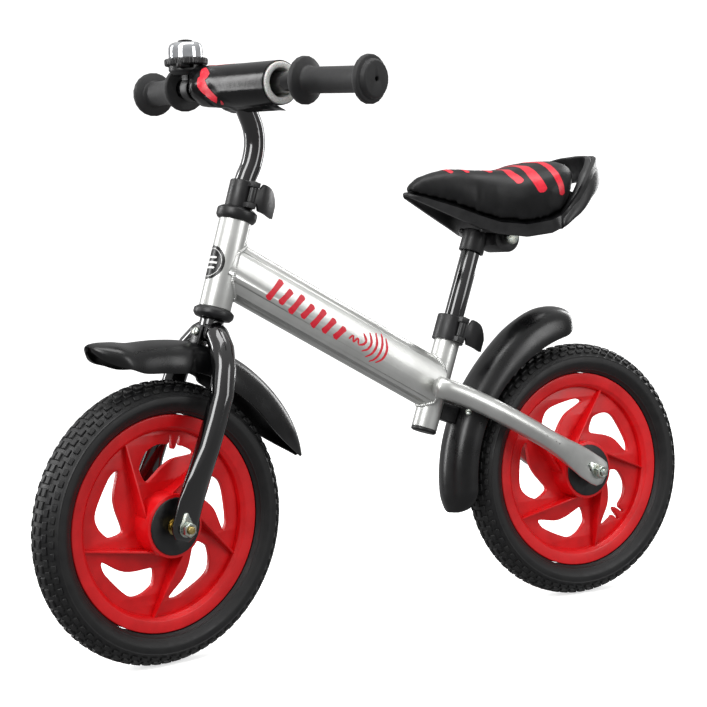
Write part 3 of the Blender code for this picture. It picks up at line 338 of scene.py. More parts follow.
def grain(tree, shader, where, size, depth, strength=1.0, under=None, detail=2.0):
    # fine relief whose bumps are size apart and depth high
    bumps = addNode(tree, "ShaderNodeTexNoise", [("Vector", where, "Object")],
                    [("Scale", 1 / size), ("Detail", detail), ("Roughness", 0.5)])
    bump = addNode(tree, "ShaderNodeBump", [("Height", bumps, "Fac")],
                   [("Strength", strength), ("Distance", depth)])
    if under is not None:
        tree.links.new(under.outputs["Normal"], bump.inputs["Normal"])
    tree.links.new(bump.outputs["Normal"], shader.inputs["Normal"])
    return bump


def makeSilverPaint():
    # aluminium-flake paint under clear lacquer on welded steel: soft bright bands, fine sparkle
    material, tree, shader = newMaterial("silverFlakePaint")
    where, drift, ramp = mottle(tree, shader, "c4c5c2", "d6d7d4", 0.05)
    setShader(shader, metallic=0.82, coat=0.5, coatRough=0.12)
    flakes = addNode(tree, "ShaderNodeTexVoronoi", [("Vector", where, "Object")],
                     [("Scale", 1 / 0.0011)])  # drawn coarser than real 0.05 mm flakes
    spread = addNode(tree, "ShaderNodeMapRange", [("Value", flakes, "Distance")],
                     [("From Min", 0.0), ("From Max", 0.9), ("To Min", 0.32), ("To Max", 0.42)])
    tree.links.new(spread.outputs["Result"], shader.inputs["Roughness"])
    grain(tree, shader, where, 0.0016, 0.00002, 0.5)
    return material


def mottled(name, tones, drift, rough, relief, **shine):
    # two near tones over a size in metres, roughness that follows them, fine relief on top
    material, tree, shader = newMaterial(name)
    where, cloud, ramp = mottle(tree, shader, *tones, drift)
    setShader(shader, **shine)
    roughen(tree, shader, cloud, *rough)
    grain(tree, shader, where, *relief)
    return material


def makeFoam():
    # closed-cell polyethylene foam, cut: pale grey with open cells a millimetre across; the hollow
    # of each cell is painted darker as painted shade
    material, tree, shader = newMaterial("cutPaleFoam")
    where = addNode(tree, "ShaderNodeTexCoord")
    cells = addNode(tree, "ShaderNodeTexVoronoi", [("Vector", where, "Object")],
                    [("Scale", 1 / 0.0012)])
    # painted shade: each cell's hollow middle is grey and its rim is pale, following the same cells
    # as the relief below
    ramp = addNode(tree, "ShaderNodeValToRGB", [("Fac", cells, "Distance")])
    ramp.color_ramp.elements[0].position = 0.12
    ramp.color_ramp.elements[0].color = linear("8f8f8c")
    ramp.color_ramp.elements[1].position = 0.45
    ramp.color_ramp.elements[1].color = linear("e3e3df")
    tree.links.new(ramp.outputs["Color"], shader.inputs["Base Color"])
    setShader(shader, rough=0.92, subsurface=0.1, subsurfaceScale=0.003)
    bump = addNode(tree, "ShaderNodeBump", [("Height", cells, "Distance")],
                   [("Strength", 0.8), ("Distance", 0.0004)])
    tree.links.new(bump.outputs["Normal"], shader.inputs["Normal"])
    return material


def makeVinyl(name, rough, leather, depth, shine=0.5):
    # embossed PVC over foam: fine hide grain, soft broad shine
    material, tree, shader = newMaterial(name)
    where, drift, ramp = mottle(tree, shader, "070708", "0f0f10", 0.02)
    setShader(shader, ior=1.53, specular=shine)
    roughen(tree, shader, drift, rough, rough + 0.1)
    hide = addNode(tree, "ShaderNodeTexVoronoi", [("Vector", where, "Object")],
                   [("Scale", 1 / leather)], feature="DISTANCE_TO_EDGE")
    pressed = addNode(tree, "ShaderNodeBump", [("Height", hide, "Distance")],
                      [("Strength", 0.5), ("Distance", depth)])
    grain(tree, shader, where, 0.004, 0.00012, 0.5, pressed)
    return material


def makeInk(name, dark, light, rough):
    # screen ink on lacquer or vinyl: even colour with a slightly soft shine
    return mottled(name, (dark, light), 0.004, (rough, rough + 0.1), (0.0010, 0.00003, 0.4),
                   ior=1.48)


finish = {
    "redInk": makeInk("redScreenInk", "d0142a", "dd1c34", 0.34),
    "blackInk": makeInk("blackScreenInk", "0a0a0b", "121213", 0.25),
    "whiteInk": makeInk("whiteScreenInk", "dcdcda", "efefed", 0.35),
    "silver": makeSilverPaint(),
    # stove enamel on steel tube: deep black, long sharp highlights, faint orange peel
    "gloss": mottled("blackStoveEnamel", ("040405", "09090a"), 0.03, (0.10, 0.2),
                     (0.0035, 0.00003, 0.35), ior=1.5, coat=1.0, coatRough=0.05),
    # injection-moulded nylon: even spark-eroded texture and a wide dull shine
    "satin": mottled("mouldedBlackNylon", ("08080a", "121213"), 0.012, (0.34, 0.5),
                     (0.0009, 0.00004, 0.6), ior=1.53),
    # blow-moulded polypropylene guards: smoother than the clamps, soft broad sheen
    "fender": mottled("fenderPolypropylene", ("060607", "0e0e0f"), 0.03, (0.24, 0.36),
                      (0.0022, 0.00004, 0.4), ior=1.49),
    # thermoplastic rubber grips: dry and matt, with a dusty bloom
    "rubber": mottled("gripRubber", ("08080a", "131314"), 0.008, (0.55, 0.72),
                      (0.0006, 0.00005, 0.7), ior=1.52, sheen=0.08),
    # foamed EVA tyre skin: matt black, slightly greyer where the mould vents rub
    "tyre": mottled("foamedTyreRubber", ("08080a", "141414"), 0.014, (0.42, 0.62),
                    (0.0011, 0.00006, 0.7), ior=1.5),
    # red moulded polypropylene: saturated, slightly waxy, faint flow marks
    "red": mottled("redMouldedPolypropylene", ("d0060e", "e40c14"), 0.03, (0.3, 0.42),
                   (0.0018, 0.00004, 0.45), ior=1.49, subsurface=0.06, subsurfaceScale=0.002),
    # zinc-plated steel with a clear passivate: cool grey, a breath of teal and yellow
    "zinc": mottled("zincPlatedSteel", ("a5b2b0", "cfcfc2"), 0.003, (0.2, 0.38),
                    (0.0005, 0.00003, 0.6), metallic=1.0),
    # bright nickel-chrome on pressed steel
    "chrome": mottled("brightChrome", ("d6d9dc", "e4e6e8"), 0.01, (0.05, 0.11),
                      (0.004, 0.00002, 0.3), metallic=1.0),
    # brass-coloured zinc on the bearing cones
    "brass": mottled("yellowZincCone", ("a8925a", "c9b57a"), 0.003, (0.22, 0.36),
                     (0.0005, 0.00002, 0.5), metallic=1.0),
    "foam": makeFoam(),
    "cover": makeVinyl("glossPadVinyl", 0.13, 0.0012, 0.00004, 0.16),
    "saddle": makeVinyl("saddleVinyl", 0.40, 0.0011, 0.00008, 0.30),
}
print("materials made")


# small hardware and tubes: the model's own shapes, cleaned and finished
def cleanCopy(node, name):
    piece = copied(nodes[node], name)
    piece.parent = None
    for key in list(piece.keys()):
        del piece[key]
    edit(piece)
    bpy.ops.mesh.remove_doubles(threshold=2e-6)
    bpy.ops.mesh.dissolve_limited(angle_limit=math.radians(0.6))
    done()
    return piece


def roundCopy(node, name):
    piece = copied(nodes[node], name)
    piece.parent = None
    for key in list(piece.keys()):
        del piece[key]
    edit(piece)
    bpy.ops.mesh.remove_doubles(threshold=2e-6)
    bpy.ops.mesh.tris_convert_to_quads(face_threshold=math.radians(40),
                                       shape_threshold=math.radians(60))
    done()
    return piece


hardware = [
    # finish, bevel width, nodes
    ("silver", 0.0006, ["head_tube", "seat_tube"]),
    ("satin", 0.0008, ["upper_headset_cup", "lower_headset_cup"]),
    ("satin", 0.0006, ["seat_tube_plug"]),
    ("satin", 0.0008, ["seat_clamp"]),
    ("zinc", 0.0004, ["seat_clamp_pin"]),
    ("satin", 0.0009, ["seat_clamp_lever"]),
    ("satin", 0.0008, ["stem_clamp"]),
    ("zinc", 0.0004, ["stem_clamp_pin"]),
    ("satin", 0.0009, ["stem_clamp_lever"]),
    ("satin", 0.0008, ["rear_fender_bracket"]),
    ("zinc", 0.0004, ["rear_fender_screw"]),
    ("zinc", 0.0005, ["front_fender_bolt"]),
    ("zinc", 0.0003, ["rear_axle"]),
    ("zinc", 0.0005, ["rear_axle_nut_left", "rear_axle_nut_right"]),
    ("zinc", 0.0003, ["rear_washer_left", "rear_washer_right"]),
    ("brass", 0.0003, ["front_axle"]),
    ("zinc", 0.0005, ["front_axle_nut_left", "front_axle_nut_right"]),
    ("zinc", 0.0003, ["front_washer_left", "front_washer_right"]),
    ("brass", 0.0003, ["rear_bearing_left", "rear_bearing_right",
                       "front_bearing_left", "front_bearing_right"]),
    ("satin", 0.0006, ["rear_hub_cap_left", "rear_hub_cap_right",
                       "front_hub_cap_left", "front_hub_cap_right", "bell_base"]),
    ("satin", 0.0005, ["bell_lever"]),
    ("satin", 0.0006, ["saddle_clamp"]),
    ("zinc", 0.0005, ["saddle_clamp_bolt"]),
    ("gloss", 0.0012, ["fork_crown"]),
    ("gloss", 0.0006, ["seat_post"]),
    ("rubber", 0.0012, ["left_grip", "right_grip"]),
]


def pieceName(node):
    first, *rest = node.split("_")
    return first + "".join(word.capitalize() for word in rest)


for kind, width, group in hardware:
    for node in group:
        piece = cleanCopy(node, pieceName(node))
        soften(piece, width)
        finishPiece(piece, pieceName(node), finish[kind], [node])
print("hardware finished")

smoothTubes = {
    "down_tube": "silver", "left_stay": "silver", "right_stay": "silver",
    "fork_leg_left": "gloss", "fork_leg_right": "gloss", "handlebar_stem": "gloss",
    "handlebar_bar": "gloss", "saddle_rail": "satin",
}
for node, kind in smoothTubes.items():
    piece = roundCopy(node, pieceName(node))
    finishPiece(piece, pieceName(node), finish[kind], [node], angle=42)
print("tubes finished")

# fenders
fender = {
    "crest": 0.1830, "edge": 0.1560, "half": 0.0262, "wall": 0.0024, "backed": 0.62,
    # degrees round the wheel from straight ahead, share of half width, crest lift, edge lift
    "rear": [(-10, 0.94, -0.002, 0.003), (-5, 0.98, 0, 0.001), (0, 1, 0, 0), (14, 1, 0, 0),
             (28, 1, 0, 0), (42, 1, 0.0005, 0), (54, 1, 0.004, 0), (66, 1, 0.010, 0.001),
             (76, 1, 0.0125, 0.003), (83, 0.96, 0.0095, 0.004), (88, 0.88, 0.004, 0.004)],
    "front": [(67, 0.98, 0.0215, 0.0240), (70, 1.08, 0.0185, 0.0205), (74, 1.12, 0.0135, 0.0150),
              (80, 1.05, 0.0065, 0.0050), (90, 1, 0.0040, 0.0005), (98, 1, 0.0036, 0),
              (103, 0.8, 0.0036, 0.002), (113, 0.8, 0.0036, 0.001), (118, 1, 0.0040, -0.003),
              (132, 1, 0.0045, -0.003), (144, 1, 0.0050, -0.002), (152, 0.84, 0.0060, 0.004),
              (159, 0.50, 0.0070, 0.016), (165, 0.12, 0.0075, 0.031)],
    "rounding": {"rear": (8, 7), "front": (7.5, 0)},  # degrees of rounded tip at each end
    "blunt": {"rear": 0.5, "front": 0.2},
}


def makeFender(end):
    f = fender
    stations = curved([Vector((d, share, crest)) for d, share, crest, edge in f[end]], 8)
    edges = curved([Vector((d, edge, 0)) for d, share, crest, edge in f[end]], 8)
    first, last = f[end][0][0], f[end][-1][0]
    points, faces, across = [], [], 18
    for station, low in zip(stations, edges):
        fall = 1.0
        for distance, length in ((station.x - first, f["rounding"][end][0]),
                                 (last - station.x, f["rounding"][end][1])):
            if length and distance < length:
                fall = min(fall, math.sqrt(max(1 - (1 - distance / length) ** 2, 0)))
        fall = f["blunt"][end] + (1 - f["blunt"][end]) * fall
        outer = f["crest"] + station.z
        inner = outer - (outer - f["edge"] - low.y) * fall
        half = f["half"] * station.y * fall
        angle = math.radians(station.x)
        for i in range(across + 1):
            t = -1 + 2 * i / across
            bow = max(math.cos(t * math.pi / 2), 0) ** f["backed"]
            ridge = 0.0009 * max(0, 1 - (t / 0.22) ** 2)  # the raised band along the back
            radius = inner + (outer - inner) * bow + ridge
            points.append((radius * math.cos(angle), half * math.sin(t * math.pi / 2),
                           radius * math.sin(angle)))
    for i in range(len(stations) - 1):
        for j in range(across):
            a = i * (across + 1) + j
            faces.append((a, a + across + 1, a + across + 2, a + 1))
    piece = fromMesh(end + "Guard", points, faces)
    edit(piece)
    bpy.ops.mesh.normals_make_consistent(inside=False)
    done()
    modify(piece, "SOLIDIFY", thickness=f["wall"], offset=0)
    modify(piece, "BEVEL", width=0.0006, segments=2, limit_method="ANGLE",
           angle_limit=math.radians(50))
    applyModifiers(piece)
    piece.data.transform(wheels[end] @ turnedAxle.inverted())
    return piece


def crownTab():
    # the tongue that the front guard hangs from, bolted to the crown
    bpy.ops.object.select_all(action="DESELECT")
    bpy.ops.mesh.primitive_cube_add(size=1)
    tab = bpy.context.active_object
    tab.dimensions = (0.0026, 0.016, 0.0215)
    settle(tab)
    soften(tab, 0.0008, 2, 30)
    tab.data.transform(steering @ Matrix.Translation((0.0151, 0, 0.1955)))
    return tab


finishPiece(makeFender("rear"), "rearFender", finish["fender"], ["rear_fender"],
            angle=50)
finishPiece(joined([makeFender("front"), crownTab()], "front"), "frontFender", finish["fender"],
            ["front_fender"], angle=50)
print("fenders made")

# saddle
seat = {
    "origin": Vector((-0.140192, 0, 0.427681)),  # over the post's clamp
    "loopStart": 0.0748, "loopReach": 0.0800, "loopHalf": 0.0745, "loopWall": 0.0088,
    "loopEdge": 0.0026, "loopLean": 0.0075, "loopBelly": 0.0022, "loopSpan": 97,
    # heights of its top and foot by degrees round from the back
    "loopTop": [(0, 0.0870), (20, 0.0861), (40, 0.0817), (60, 0.0672), (80, 0.0392),
                (100, 0.0130)],
    "loopFoot": [(0, 0.0570), (40, 0.0520), (60, 0.0378), (80, 0.0168), (100, -0.0005)],
    "voxel": 0.0030, "shrink": 0.0009, "pressure": 4.0, "frames": 20, "cap": 0.0016,
    "smoothing": 14, "fullness": 0.0011,
}


def between(table, at):
    for (a, low), (b, high) in zip(table, table[1:]):
        if at <= b:
            t = max(0.0, (at - a) / (b - a))
            t = t * t * (3 - 2 * t) * 0.35 + t * 0.65
            return low + (high - low) * t
    return table[-1][1]


def makeLoop():
    points, faces, rings = [], [], 45
    for k in range(rings):
        degrees = seat["loopSpan"] * (2 * k / (rings - 1) - 1)
        side, back = math.sin(math.radians(degrees)), math.cos(math.radians(degrees))
        centre = seat["origin"] + Vector((-seat["loopStart"] - seat["loopReach"] * back,
                                          seat["loopHalf"] * side, 0))
        outward = Vector((-back / seat["loopReach"], side / seat["loopHalf"], 0)).normalized()
        top, foot = between(seat["loopTop"], abs(degrees)), between(seat["loopFoot"], abs(degrees))
        w, r = seat["loopWall"] / 2, seat["loopEdge"]
        section = [(-w, foot + r), (-w, (foot + top) / 2), (-w, top - r),
                   (-w + 0.4 * r, top - 0.3 * r), (-w + r, top), (w - r, top),
                   (w - 0.3 * r, top - 0.3 * r), (w, top - r), (w * 1.1, (foot + top) / 2),
                   (w * 1.2, foot + r), (w * 1.1, foot), (-w + r, foot)]
        for out, height in section:
            rise = max(0.0, (height - foot) / (top - foot))
            tilt = seat["loopBelly"] * math.sin(math.pi * rise) - seat["loopLean"] * rise ** 2.2
            points.append(centre + outward * (out + tilt) + Vector((0, 0, height)))
    n = len(section)
    for i in range(rings - 1):
        for j in range(n):
            a, b = i * n + j, i * n + (j + 1) % n
            faces.append((a, b, b + n, a + n))
    faces += [tuple(range(n)), tuple(reversed(range(len(points) - n, len(points))))]
    piece = fromMesh("loop", points, faces)
    edit(piece)
    bpy.ops.mesh.normals_make_consistent(inside=False)
    done()
    subdivide(piece)
    return piece


base = cleanCopy("saddle_base", "base")
finishPiece(joined([base, makeLoop()], "saddleBase"), "saddleBase", finish["satin"],
            ["saddle_base"], angle=50)


def stuffed(node, name):
    # pressure swells the cover, no point goes further than the cap, and most reach it
    piece = roundCopy(node, name)
    modify(piece, "DISPLACE", strength=-seat["shrink"], mid_level=0.0)
    modify(piece, "REMESH", mode="VOXEL", voxel_size=seat["voxel"])
    applyModifiers(piece)
    rest = [v.co.copy() for v in piece.data.vertices]
    cloth = piece.modifiers.new("Cloth", "CLOTH")
    cloth.settings.use_pressure = True
    cloth.settings.uniform_pressure_force = seat["pressure"]
    cloth.settings.effector_weights.gravity = 0
    cloth.point_cache.frame_start = 1
    cloth.point_cache.frame_end = seat["frames"]
    for moment in range(1, seat["frames"] + 1):
        bpy.context.scene.frame_set(moment)
    applyModifiers(piece)
    for vertex, place in zip(piece.data.vertices, rest):
        move = vertex.co - place
        if move.length > seat["cap"]:
            vertex.co = place + move * seat["cap"] / move.length
    bpy.context.scene.frame_set(1)
    print("cushion simulated, each point held within", seat["cap"])
    modify(piece, "SMOOTH", factor=0.5, iterations=seat["smoothing"])
    modify(piece, "DISPLACE", strength=seat["fullness"], mid_level=0.0)
    modify(piece, "SUBSURF", levels=1, render_levels=1)
    applyModifiers(piece)
    return piece


cushion = stuffed("saddle_cushion", "saddleCushion")
finishPiece(cushion, "saddleCushion", finish["saddle"], ["saddle_cushion"],
            angle=70)
print("saddle made")

# bar pad
pad = {
    "forward": 0.036, "along": 0.4575,  # the bar's middle on the steering frame
    "left": 0.0750, "right": -0.0450, "foam": 0.0214, "bore": 0.0150,
    "cover": 0.0222, "overlap": 0.0008, "flap": 0.0145, "coverWall": 0.0006,
    "seam": 262, "turn": 352,  # degrees: where the wrap starts, and how far round it goes
    "showing": 0.0012, "creased": 0.042,  # foam past the left edge, length of the creases
}
barPlace = steering @ Matrix.Translation((pad["forward"], 0, pad["along"]))
foamOutline = [(pad["bore"], pad["right"]), (pad["foam"] - 0.0040, pad["right"]),
               (pad["foam"], pad["right"] + 0.0100), (pad["foam"], pad["left"]),
               (pad["foam"] - 0.0020, pad["left"] + 0.0004),
               (pad["bore"] + 0.0012, pad["left"] + 0.0002),
               (pad["bore"], pad["left"] - 0.0006)]
foam = spun("foam", foamOutline, 64)
soften(foam, 0.0007, 2, 40)
foam.data.transform(barPlace @ turnedAxle)
finishPiece(foam, "padFoam", finish["foam"], ["pad_foam"])

# the inner layer that shows past the cover's slanting end
sleeveOutline = [(0.0216, 0.002), (0.0219, 0.000), (0.0217, -0.030), (0.0209, -0.048),
                 (0.0192, -0.058), (0.0165, -0.0635), (0.0135, -0.0650), (0.0130, -0.0640),
                 (0.0158, -0.0620), (0.0185, -0.0568), (0.0202, -0.0475), (0.0210, -0.030),
                 (0.0212, 0.002)]
sleeve = spun("sleeve", sleeveOutline, 72)
for vertex in sleeve.data.vertices:
    about = math.atan2(vertex.co.y, vertex.co.x)
    gather = max(0, (-0.035 - vertex.co.z) / 0.03)
    swell = 1 + 0.045 * gather * math.sin(7 * about + 60 * vertex.co.z)
    vertex.co.x *= swell
    vertex.co.y *= swell
sleeve.data.transform(barPlace @ turnedAxle)
finishPiece(sleeve, "padSleeve", finish["cover"], [], "handlebar", 60)


def coverEnd(angle):
    # the cover's right end runs slantwise: short under the bar, long over the top
    high = 0.5 + 0.5 * math.sin(angle + math.radians(18))
    return -0.018 - 0.052 * high ** 0.8


def makeCover():
    points, faces, rows, wrapped, hanging = [], [], 46, 76, 8
    columns = wrapped + hanging
    for j in range(columns + 1):
        wrap = min(j / wrapped, 1.0)
        angle = math.radians(pad["seam"] - pad["turn"] * wrap)
        loose = max(0, j - wrapped) / hanging
        end = coverEnd(angle)
        for i in range(rows + 1):
            t = i / rows
            at = end + (pad["left"] - pad["showing"] - end) * t
            near = max(0.0, 1 - (at - end) / pad["creased"])
            crease = noise.noise(Vector((2.1 * math.cos(angle), 2.1 * math.sin(angle), at * 55)))
            fine = noise.noise(Vector((5 * math.cos(angle), 5 * math.sin(angle), at * 130 + 7)))
            front = max(0.0, math.cos(angle + math.radians(42)))
            lift = near ** 1.5 * (0.0042 * crease + 0.0016 * fine + 0.0042 * front ** 3)
            lift += 0.00025 * noise.noise(Vector((angle * 3, at * 40, 3)))
            least = -0.0002 + 0.0004 * wrap  # the outer turn stays clear of the first
            radius = pad["cover"] + pad["overlap"] * wrap + max(lift, least)
            x, z = radius * math.cos(angle), radius * math.sin(angle)
            if loose:
                x -= pad["flap"] * loose
                z += -0.0012 * math.sin(loose * math.pi / 2) + 0.0009 * noise.noise(
                    Vector((at * 60, loose * 2, 1)))
            points.append((x, at, z))
    for j in range(columns):
        for i in range(rows):
            a = j * (rows + 1) + i
            faces.append((a, a + 1, a + rows + 2, a + rows + 1))
    piece = fromMesh("cover", points, faces)
    bpy.context.view_layer.update()
    modify(piece, "SOLIDIFY", thickness=pad["coverWall"], offset=0)
    modify(piece, "SUBSURF", levels=1, render_levels=1)
    applyModifiers(piece)
    edit(piece)
    bpy.ops.mesh.normals_make_consistent(inside=False)
    done()
    piece.data.transform(barPlace)
    return piece


cover = makeCover()
finishPiece(cover, "padCover", finish["cover"], ["pad_cover"], angle=60)


def onPad(degrees, at, radius=0.0245):
    angle = math.radians(degrees)
    return barPlace @ Vector((radius * math.cos(angle), at, radius * math.sin(angle)))


padMarks = [
    ([onPad(44, -0.044), onPad(24, -0.036), onPad(6, -0.024)], (0.0050, 0.0110, 0.0090), 0.25),
    ([onPad(14, -0.036), onPad(-14, -0.030), onPad(-44, -0.016), onPad(-68, -0.004)],
     (0.0100, 0.0120, 0.0100, 0.0070), 0.25),
    ([onPad(60, -0.046), onPad(62, -0.020), onPad(64, 0.002)], (0.0012, 0.0034, 0.0016), 0.5),
    ([onPad(74, -0.054), onPad(76, -0.020), onPad(78, 0.012)], (0.0012, 0.0034, 0.0016), 0.5),
    ([onPad(90, -0.058), onPad(91, -0.020), onPad(92, 0.004)], (0.0012, 0.0034, 0.0016), 0.5),
]
finishPiece(printed("padMarks", cover, padMarks, 0.0003), "padMarks", finish["redInk"], [],
            "handlebar", 60)
print("bar pad made")

# bell
bell = {
    "gong": [(0, 0.0174), (0.0095, 0.0174), (0.0140, 0.0167), (0.0168, 0.0149), (0.0180, 0.0120),
             (0.0183, 0.0080), (0.0184, 0.0002), (0.0176, 0.0), (0.0175, 0.0080), (0.0172, 0.0116),
             (0.0161, 0.0142), (0.0136, 0.0158), (0.0094, 0.0165), (0, 0.0165)],
    "cap": [(0, 0.0202), (0.0045, 0.0200), (0.0078, 0.0192), (0.0080, 0.0188), (0.0030, 0.0184),
            (0.0028, 0.0172), (0, 0.0172)],
    "ring": [(0.0176, -0.0080), (0.0224, -0.0074), (0.0232, -0.0062), (0.0235, -0.0020),
             (0.0230, -0.0006), (0.0196, 0.0003), (0.0178, 0.0003)],
    "teeth": 36, "toothDepth": 0.0007,
}
low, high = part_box("bell_gong")
bellPlace = Matrix.Translation(((low.x + high.x) / 2, (low.y + high.y) / 2, low.z))
gong = spun("gong", bell["gong"], 96, False)
gong.data.transform(bellPlace)
finishPiece(gong, "bellGong", finish["chrome"], ["bell_gong"], angle=50)
cap = spun("cap", bell["cap"], 48, False)
cap.data.transform(bellPlace)
finishPiece(cap, "bellCap", finish["satin"], ["bell_cap"], angle=40)
ring = spun("ring", bell["ring"], 4 * bell["teeth"])
for vertex in ring.data.vertices:
    radius = math.hypot(vertex.co.x, vertex.co.y)
    tooth = int(((math.atan2(vertex.co.y, vertex.co.x) / (2 * math.pi)) % 1.0)
                * 4 * bell["teeth"] + 0.5)
    if radius > 0.021 and tooth % 4 in (0, 1):
        vertex.co.x *= 1 - bell["toothDepth"] / radius
        vertex.co.y *= 1 - bell["toothDepth"] / radius
ring.data.transform(bellPlace)
finishPiece(ring, "bellRing", finish["satin"], [], bodyOf["bell_base"], 25)
print("bell made")

# frame: welds and printed marks
frameTube = {
    "head": Vector((0.1786, 0, 0.4078)), "seat": Vector((-0.0771, 0, 0.2607)),  # centre line
    "halfHeight": 0.029, "halfWidth": 0.018, "corner": 0.85,
    "headTubeRadius": 0.017, "seatTubeRadius": 0.0145, "bead": 0.0021,
}
tubeAlong = (frameTube["seat"] - frameTube["head"]).normalized()
tubeUp = Vector((tubeAlong.z, 0, -tubeAlong.x))
tubeMiddle = (frameTube["seat"] + frameTube["head"]) / 2


def ovalPoint(angle, share=1.0):
    c, s = math.cos(angle), math.sin(angle)
    height = math.copysign(abs(c) ** frameTube["corner"], c) * frameTube["halfHeight"] * share
    width = math.copysign(abs(s) ** frameTube["corner"], s) * frameTube["halfWidth"] * share
    return height * tubeUp + Vector((0, width, 0))


def tubeWeld(name, target, direction, reach):
    # the joint runs where the oval tube's skin meets the round one
    path = []
    for i in range(72):
        start = tubeMiddle + ovalPoint(2 * math.pi * i / 72)
        start.y = max(-reach, min(reach, start.y))
        hit, where, normal, index = target.ray_cast(start, direction)
        if hit:
            path.append(where)
    return bead(name, path, frameTube["bead"], loop=True)


bpy.context.view_layer.update()
welds = [tubeWeld("headWeld", made["headTube"], -tubeAlong, frameTube["headTubeRadius"] - 0.0008),
         tubeWeld("seatWeld", made["seatTube"], tubeAlong, frameTube["seatTubeRadius"] - 0.0006)]
finishPiece(joined(welds, "frameWelds"), "frameWelds", finish["silver"], [],
            "frame", 60)


def alongTube(reach, across, side=1):
    return frameTube["head"] + reach * tubeAlong + across * tubeUp + Vector((0, side * 0.02, 0))


tubeMarks = {
    "start": 0.056, "pitch": 0.0152, "count": 7, "lean": 0.0035,
    "heights": (0.0135, 0.0100, 0.0125, 0.0095, 0.0120, 0.0100, 0.0085), "width": 0.0080,
    "arcStart": 0.1760, "arcPitch": 0.0072, "arcs": (0.0075, 0.0120, 0.0160, 0.0190, 0.0160),
}


def tubeStrokes(side):
    m, strokes = tubeMarks, []
    for i, height in enumerate(m["heights"]):
        at = m["start"] + i * m["pitch"]
        drop = -0.0010 * i
        strokes.append(([alongTube(at + m["lean"], height + drop, side),
                         alongTube(at, drop, side),
                         alongTube(at - m["lean"], drop - height, side)],
                        (m["width"], m["width"] * 0.8, m["width"]), 0.25))
    for i, height in enumerate(m["arcs"]):
        at = m["arcStart"] + i * m["arcPitch"]
        bow = [alongTube(at - 0.002, height, side), alongTube(at + 0.0045, 0.2 * height, side),
               alongTube(at + 0.0035, -0.5 * height, side), alongTube(at - 0.0025, -height, side)]
        strokes.append((bow, (0.0014, 0.0032, 0.0028, 0.0012), 0.5))
    zig = [alongTube(0.1600 + 0.0034 * k, (0.0028 if k % 2 else -0.0028) - 0.004, side)
           for k in range(5)]
    strokes.append((zig, (0.0022, 0.0022), 0.5))
    return strokes


printedMarks = printed("tubeMarks", made["downTube"], tubeStrokes(1) + tubeStrokes(-1))
finishPiece(printedMarks, "downTubeMarks", finish["redInk"], [], "frame", 60)

# a short row of dashes, which shows very little
stayMarks = {"from": Vector((-0.1560, 0.0700, 0.2160)), "to": Vector((-0.2050, 0.0700, 0.1860)),
             "count": 9, "width": 0.0017, "tall": 0.0038}
along = stayMarks["to"] - stayMarks["from"]
upright = along.normalized().cross(Vector((0, 1, 0)))
dashes = []
for i in range(stayMarks["count"]):
    at = stayMarks["from"] + along * i / (stayMarks["count"] - 1)
    half = upright * stayMarks["tall"] * (0.5 if i % 3 else 0.32)
    dashes.append(([at - half, at + half], (stayMarks["width"], stayMarks["width"]), 0.3))
finishPiece(printed("stayMarks", made["leftStay"], dashes, 0.0002), "stayMarks",
            finish["blackInk"], [], "frame", 60)

badge = {"height": 0.2725, "radius": 0.0185, "ring": 0.0150}
headDirection = (lean @ Vector((0, 0, 1))).normalized()
badgeMiddle = Vector(bike["steeringFoot"]) + badge["height"] * headDirection
badgeFront = Vector((math.cos(bike["headAngle"]), 0, math.sin(bike["headAngle"]))) * 0.02


def disc(radius, count=24):
    path = [badgeMiddle + badgeFront + headDirection * radius * (2 * k / count - 1)
            for k in range(count + 1)]
    widths = [2 * radius * math.sqrt(max(1 - (2 * k / count - 1) ** 2, 0)) + 0.0004
              for k in range(count + 1)]
    return path, widths, 0.0


finishPiece(printed("badge", made["headTube"], [disc(badge["radius"])], 0.00014, 0.0009, 24),
            "headBadge", finish["blackInk"], [], "frame", 60)
ring = []
for k in range(33):
    t = 2 * math.pi * k / 32
    around = badge["ring"] * math.cos(t) / 0.017
    ring.append(badgeMiddle + headDirection * badge["ring"] * math.sin(t)
                + 0.02 * (Vector((math.cos(bike["headAngle"]), 0, math.sin(bike["headAngle"])))
                          * math.cos(around) + Vector((0, 1, 0)) * math.sin(around)))
bars = []
for height, width in ((0.0055, 0.0085), (0.0, 0.0105), (-0.0055, 0.0085)):
    arc = []
    for k in range(9):
        t = (k / 4 - 1) * width / 0.017
        arc.append(badgeMiddle + headDirection * height
                   + 0.02 * (Vector((math.cos(bike["headAngle"]), 0, math.sin(bike["headAngle"])))
                             * math.cos(t) + Vector((0, 1, 0)) * math.sin(t)))
    bars.append((arc, (0.0022, 0.0022), 0.5))
badgeLines = [(ring, (0.0006, 0.0006), 0.0)] + bars
finishPiece(printed("badgeRing", made["headTube"], badgeLines, 0.00024, 0.0008),
            "headBadgePrint", finish["whiteInk"], [], "frame", 60)
print("frame marked")

# tyres
tyre = {
    "casing": [(0.1454, 0.0), (0.1443, 0.0082), (0.1404, 0.0142), (0.1362, 0.0184),
               (0.1340, 0.0203), (0.1332, 0.0212), (0.1322, 0.0210), (0.1290, 0.0214),
               (0.1250, 0.0212), (0.1205, 0.0188), (0.1180, 0.0167), (0.1172, 0.0164),
               (0.1163, 0.0148), (0.1139, 0.0122)],
    "pitches": 72,  # blocks round the tyre, 12.9 mm apart
    "segments": 144,
    # each row: across from the middle, radius there, tilt, width, length, share of a pitch ahead
    "rows": [(0.0042, 0.1451, 6, 0.0066, 0.0090, 0.0), (0.0111, 0.1427, 28, 0.0056, 0.0088, 0.5),
             (0.0166, 0.1382, 52, 0.0052, 0.0078, 0.0)],
    "blockHeight": 0.0020,
    "rooted": 0.0010,
}


